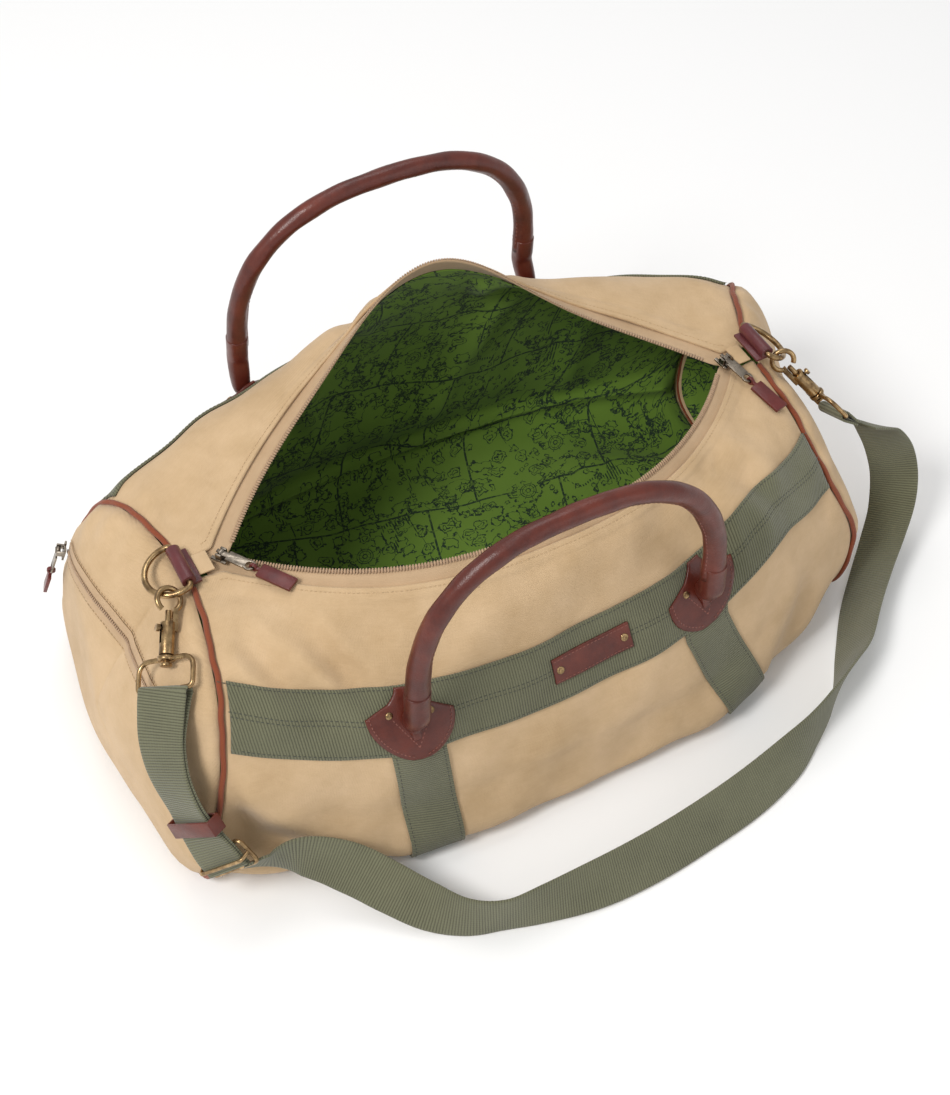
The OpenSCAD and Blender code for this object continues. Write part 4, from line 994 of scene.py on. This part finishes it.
for s, side in ((-1, "left"), (1, "right")):
    dress(side + "_zip_end_tab", "bag", MAT["canvas"], side + "_zip_end_cloth", 0.4, "canvas")
    dress(side + "_zip_slider", side + "_slider", MAT["gunmetal"], side + "_slider_metal", 0.3, "gunmetal")
    dress(side + "_zip_puller", side + "_puller", MAT["gunmetal"], side + "_puller_metal", 0.25, "gunmetal")
    dress(side + "_zip_pull_tab", side + "_pull_tab", MAT["pull"], side + "_pull_leather", 0.6, "pull_leather")
    dress(side + "_clip_hook", side + "_hook", MAT["brass"], side + "_clip_body", 0.4, "antique_brass")
    dress(side + "_clip_bolt", side + "_bolt", MAT["brass"], side + "_clip_plunger", 0.3, "antique_brass")
    dress(side + "_clip_spring", side + "_hook", MAT["steel"], side + "_clip_coil", 0.0, "spring_steel")
    dress(side + "_ring_tab", "bag", MAT["tab"], side + "_ring_leather", 0.8, "leather")
dress("pocket_zip_slider", "pocket_slider", MAT["gunmetal"], "pocket_slider_metal", 0.3, "gunmetal")
dress("pocket_zip_puller", "pocket_puller", MAT["gunmetal"], "pocket_puller_metal", 0.25, "gunmetal")
dress("pocket_zip_pull_tab", "pocket_pull_tab", MAT["pull"], "pocket_pull_leather", 0.6, "pull_leather")
dress("strap_keeper", "keeper", MAT["leather"], "keeper_leather", 0.7, "leather")



def wire(path, radius, closed, side=(0.3, 0.5, 0.8), sides=14):
    path = np.asarray(path, float)
    T = unit(np.roll(path, -1, 0) - np.roll(path, 1, 0)) if closed else tangents(path)
    A = unit(np.cross(T, side))
    B = np.cross(A, T)
    ang = np.linspace(0, 2 * np.pi, sides, endpoint=False)
    return path[:, None, :] + radius * (np.cos(ang)[None, :, None] * A[:, None, :] + np.sin(ang)[None, :, None] * B[:, None, :])


def rounded(half, lo, hi, r_lo, r_hi, n=7):
    """Rounded rectangle as (across, along) pairs, anticlockwise."""
    out = []
    for cx, cy, r, a0 in ((half - r_hi, hi - r_hi, r_hi, 0), (-half + r_hi, hi - r_hi, r_hi, 90), (-half + r_lo, lo + r_lo, r_lo, 180),
                          (half - r_lo, lo + r_lo, r_lo, 270)):
        out += [(cx + r * math.cos(math.radians(a0 + t)), cy + r * math.sin(math.radians(a0 + t))) for t in np.linspace(0, 90, n)]
    return out


def lathe(name, origin, axis, prof, mat, n=32):
    """prof: (radius, height) pairs."""
    axis = unit(axis)
    a = unit(np.cross(axis, [0.31, 0.52, 0.79]))
    b = np.cross(axis, a)
    ang = np.linspace(0, 2 * np.pi, n, endpoint=False)
    rings = [[origin + axis * h + r * (math.cos(t) * a + math.sin(t) * b) for t in ang] for r, h in prof]
    return sweep(name, rings, mat)


CLIPS = {
    "left": (np.array([-248.5, -20, 177]), np.array([-0.716984, 0.537941, -0.443344]), np.array([-0.420505, -0.84101, -0.340409])),
    "right": (np.array([245.2, -18.6, 171.2]), np.array([-0.125071, -0.846565, 0.517384]), np.array([0.528155, -0.498259, -0.687598])),
}
for side, (eye, across, down) in CLIPS.items():
    path = [eye + across * x + down * z for x, z in rounded(22.1, 40.7, 62.0, 8.0, 4.0)[::-1]]
    face = np.cross(across, down)
    o = sweep(side + "_clip_frame", wire(path, 1.75, True, face), MAT["brass"], closed=True)
    ride(o, side + "_clip", side + "_clip_loop", slot="antique_brass")
    o = lathe(side + "_clip_disc", eye, down, [(2.3, 39.0), (5.2, 39.0), (5.9, 39.5), (6.0, 40.7), (5.9, 41.9), (5.2, 42.4), (2.3, 42.4)], MAT["brass"])
    ride(o, side + "_clip", slot="antique_brass")

AD_AT = np.array([-278.2, -153.2, 61.0])
AD_I, AD_J, AD_K = (np.array(q) for q in ((-0.57377, 0.453338, -0.682109), (0.73077, 0.659427, -0.176438), (0.369815, -0.5997, -0.709645)))
path = [AD_AT + AD_I * x + AD_K * z + AD_J * 4.2 for x, z in rounded(23.2, -10.0, 10.0, 3.5, 3.5)]
ride(sweep("adjuster_frame", wire(path, 1.6, True, AD_J), MAT["brass"], closed=True), "adjuster", "strap_adjuster", slot="antique_brass")
path = catmull([AD_AT + AD_I * x + AD_J * y for x, y in ((-23.2, 4.2), (-22.6, 0), (-20.5, -3.8), (-15, -4.4), (0, -4.4), (15, -4.4), (20.5, -3.8), (22.6, 0), (23.2, 4.2))], 4)
ride(sweep("adjuster_bar", wire(path, 1.4, False, AD_K), MAT["brass"]), "adjuster", slot="antique_brass")

BAR_X, BAR_Z, TILT = 231.5, {-1: 181.5, 1: 182.5}, {-1: 12, 1: 33}
for s, side in ((-1, "left"), (1, "right")):
    corner = [(0, -20 + 3.4, 0)]
    pts = [(0, y) for y in np.linspace(-16, 16, 12)]
    pts += [(3.6 - 3.6 * math.cos(a), 16 + 3.8 * math.sin(a)) for a in np.linspace(0.2, math.pi / 2, 6)]
    pts += [(6 + 20 * math.sin(a), 20 * math.cos(a)) for a in np.linspace(0.02, math.pi - 0.02, 40)]
    pts += [(3.6 - 3.6 * math.cos(a), -16 - 3.8 * math.sin(a)) for a in np.linspace(math.pi / 2, 0.2, 6)]
    t = math.radians(TILT[s])
    path = np.array([(s * (BAR_X + x * math.cos(t)), y, BAR_Z[s] - x * math.sin(t)) for x, y in pts])
    nrm = np.array([s * math.sin(t), 0, math.cos(t)])
    T = unit(np.roll(path, -1, 0) - np.roll(path, 1, 0))
    A = unit(np.cross(T, nrm))
    ang = np.linspace(0, 2 * np.pi, 16, endpoint=False)
    R = path[:, None, :] + 2.2 * (np.cos(ang)[None, :, None] * A[:, None, :] + np.sin(ang)[None, :, None] * nrm)
    ride(sweep(side + "_ring_wire", R, MAT["brass"], closed=True), side + "_ring", side + "_d_ring", slot="antique_brass")


# ---------------------------------------------------------------- end pocket zip

PR = catmull([[r] for r in (0.86, 0.7, 0.58, 0.55, 0.6, 0.7, 0.8)], 12)[:, 0]
PV = catmull([[v] for v in (7.6, 8.1, 8.9, 10, 10.9, 11.7, 12.3)], 12)[:, 0]
mid, pn = dome(-1, PR, np.mod(PV, 10), 1.9)
mid, pn = catmull(mid[::3], 3), catmull(pn[::3], 3)
mid, pn = mid[:min(len(mid), len(pn))], unit(pn[:min(len(mid), len(pn))])
pt = tangents(mid)
side_dir = unit(np.cross(pn, pt))
for k, off in enumerate((-4.0, 4.0)):
    ride(sweep(f"pocket_tape_{k}", ribbon(mid + side_dir * off, side_dir, 6.4, 0.8, edge=3), MAT["tape"]), "bag",
         *(["pocket_zip_tape"] if k == 0 else []), slot="zip_tape")
ride(beads("pocket_teeth", mid + pn * 0.9, pn, MAT["coil"], pitch=1.9, length=3.4, r=0.8, across=True), "bag", "pocket_zip_coil", slot="zip_tape")
for k, off in enumerate((-8.4, 8.4)):
    ride(beads(f"pocket_seam_{k}", mid + side_dir * off, pn, MAT["thread"], pitch=3.4, length=2.5, r=0.42), "bag")


# ---------------------------------------------------------------- shoulder strap

STRAP = [
    [-269, -157, 53, 0.5, -0.45, 0.72], [-258, -156.5, 50.5, 0.33, -0.45, 0.82], [-247, -158, 48, 0.16, -0.35, 0.92], [-229, -165, 48, 0.2, 0.1, 0.95], [-212, -175, 43, 0.15, 0.4, 0.89],
    [-196, -188, 35, 0.15, 0.6, 0.78], [-182, -204, 28, 0.25, 0.6, 0.75], [-164, -226, 22, 0.3, 0.45, 0.83],
    [-144, -245, 20, 0.1, 0.2, 0.97], [-120, -256, 20.2, 0, 0.05, 1], [-92, -261, 20, 0, 0.25, 0.97],
    [-50, -264, 17.5, 0, 0.55, 0.83], [-8, -263, 16, 0, 0.65, 0.76], [34, -259, 16, 0, 0.65, 0.76],
    [80, -252, 16, -0.1, 0.65, 0.76], [121, -242, 18, -0.15, 0.5, 0.85], [152, -230, 20, -0.1, 0.2, 0.97],
    [180, -215, 20.5, 0, 0, 1], [203, -198, 19.5, 0.2, -0.25, 0.94], [224, -180, 17.5, 0.42, -0.47, 0.78],
    [252, -151, 15.5, 0.52, -0.56, 0.64], [280, -126, 16, 0.58, -0.58, 0.57], [304, -106, 22, 0.6, -0.6, 0.5],
    [322, -90, 34, 0.62, -0.62, 0.45], [331, -76, 54, 0.72, -0.62, 0.25], [329, -66, 76, 0.75, -0.65, 0.1],
    [318, -60, 98, 0.55, -0.75, 0.3], [306, -59, 110, 0.2, -0.9, 0.4], [295, -59, 115.5, 0, -0.87, 0.48],
]
route = catmull(STRAP, 8)
center, wide = route[:, :3], route[:, 3:]
rings = ribbon(center, wide, 38, 1.9, edge=5)
rings[..., 2] = np.maximum(rings[..., 2], 0.3)
strap = sweep("strap_webbing", rings, MAT["webbing"])
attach(strap, "bag")
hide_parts("shoulder_strap")

LOOP = [
    [-275, -73.2, 155.2, -0.7, 0.6, -0.36, 3.4], [-281, -82, 147.5, -0.66, 0.63, -0.38, 2.4], [-288, -94, 136, -0.58, 0.7, -0.38, 1.4],
    [-291.5, -107, 122, -0.5, 0.75, -0.4, 1.2], [-291, -118.5, 107.5, -0.45, 0.78, -0.4, 1.2], [-288, -128, 92, -0.45, 0.8, -0.35, 1.2],
    [-284.5, -138.5, 78.5, -0.55, 0.76, -0.2, 1.2], [-280, -149.5, 65.5, -0.65, 0.72, -0.1, 1.2], [-276, -157, 56.5, -0.68, 0.7, -0.05, 1.2],
]
lp = catmull(LOOP, 8)
d0 = unit(lp[0, :3] - lp[4, :3])
turn = unit(np.cross(tangents(lp[:, :3])[0], lp[0, 3:6]))
line, wides = [], []
for q in range(len(lp) - 1, -1, -1):
    f = unit(np.cross(tangents(lp[:, :3])[q], lp[q, 3:6]))
    line.append(lp[q, :3] + f * lp[q, 6])
    wides.append(lp[q, 3:6])
for a in np.linspace(0, math.pi, 9)[1:-1]:
    line.append(lp[0, :3] + turn * 3.4 * math.cos(a) + d0 * 3.4 * math.sin(a))
    wides.append(lp[0, 3:6])
for q in range(len(lp)):
    f = unit(np.cross(tangents(lp[:, :3])[q], lp[q, 3:6]))
    line.append(lp[q, :3] - f * lp[q, 6])
    wides.append(lp[q, 3:6])
line, wides = np.array(line), np.array(wides)
loop = sweep("strap_fold_left", ribbon(line, wides, 38, 1.9, edge=5), MAT["webbing"])
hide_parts("strap_loop_left")
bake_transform(loop)

CLIP = np.array([0.528155, -0.498259, -0.687598])
bar = np.array([245.2, -18.6, 171.2]) + 62 * CLIP
wide_r = np.array([-0.125071, -0.846565, 0.517384])
way = unit([0.72, -0.43, -0.55])
face = unit(np.cross(way, wide_r))
pts = []
for k, h in ((13, 1.2), (10, 1.6), (6, 2.4), (2, 3.1), (0, 3.3)):
    pts.append(bar + way * k + face * h)
for a in (45, 90, 135):
    pts.append(bar + face * 3.3 * math.cos(math.radians(a)) - way * 3.3 * math.sin(math.radians(a)))
for k, h in ((0, 3.3), (2, 3.1), (6, 2.4), (10, 1.6), (13, 1.2)):
    pts.append(bar + way * k - face * h)
pts = catmull(pts, 3)
end_r = sweep("strap_fold_right", ribbon(pts, np.broadcast_to(wide_r, pts.shape), 38, 1.8, edge=5), MAT["webbing"])
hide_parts("strap_end_right")
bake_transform(end_r)


# ---------------------------------------------------------------- floor

floor = Nodes("floor", rough=0.9, color=(0.93, 0.93, 0.93), spec=0.1)
floor.bump(floor.noise(floor.coord("Object"), 30, 2), 0.02, 0.001)
ground = make("floor", [(-9000, -9000, -0.2), (9000, -9000, -0.2), (9000, 9000, -0.2), (-9000, 9000, -0.2)], [(0, 1, 2, 3)], floor.mat, smooth=False)
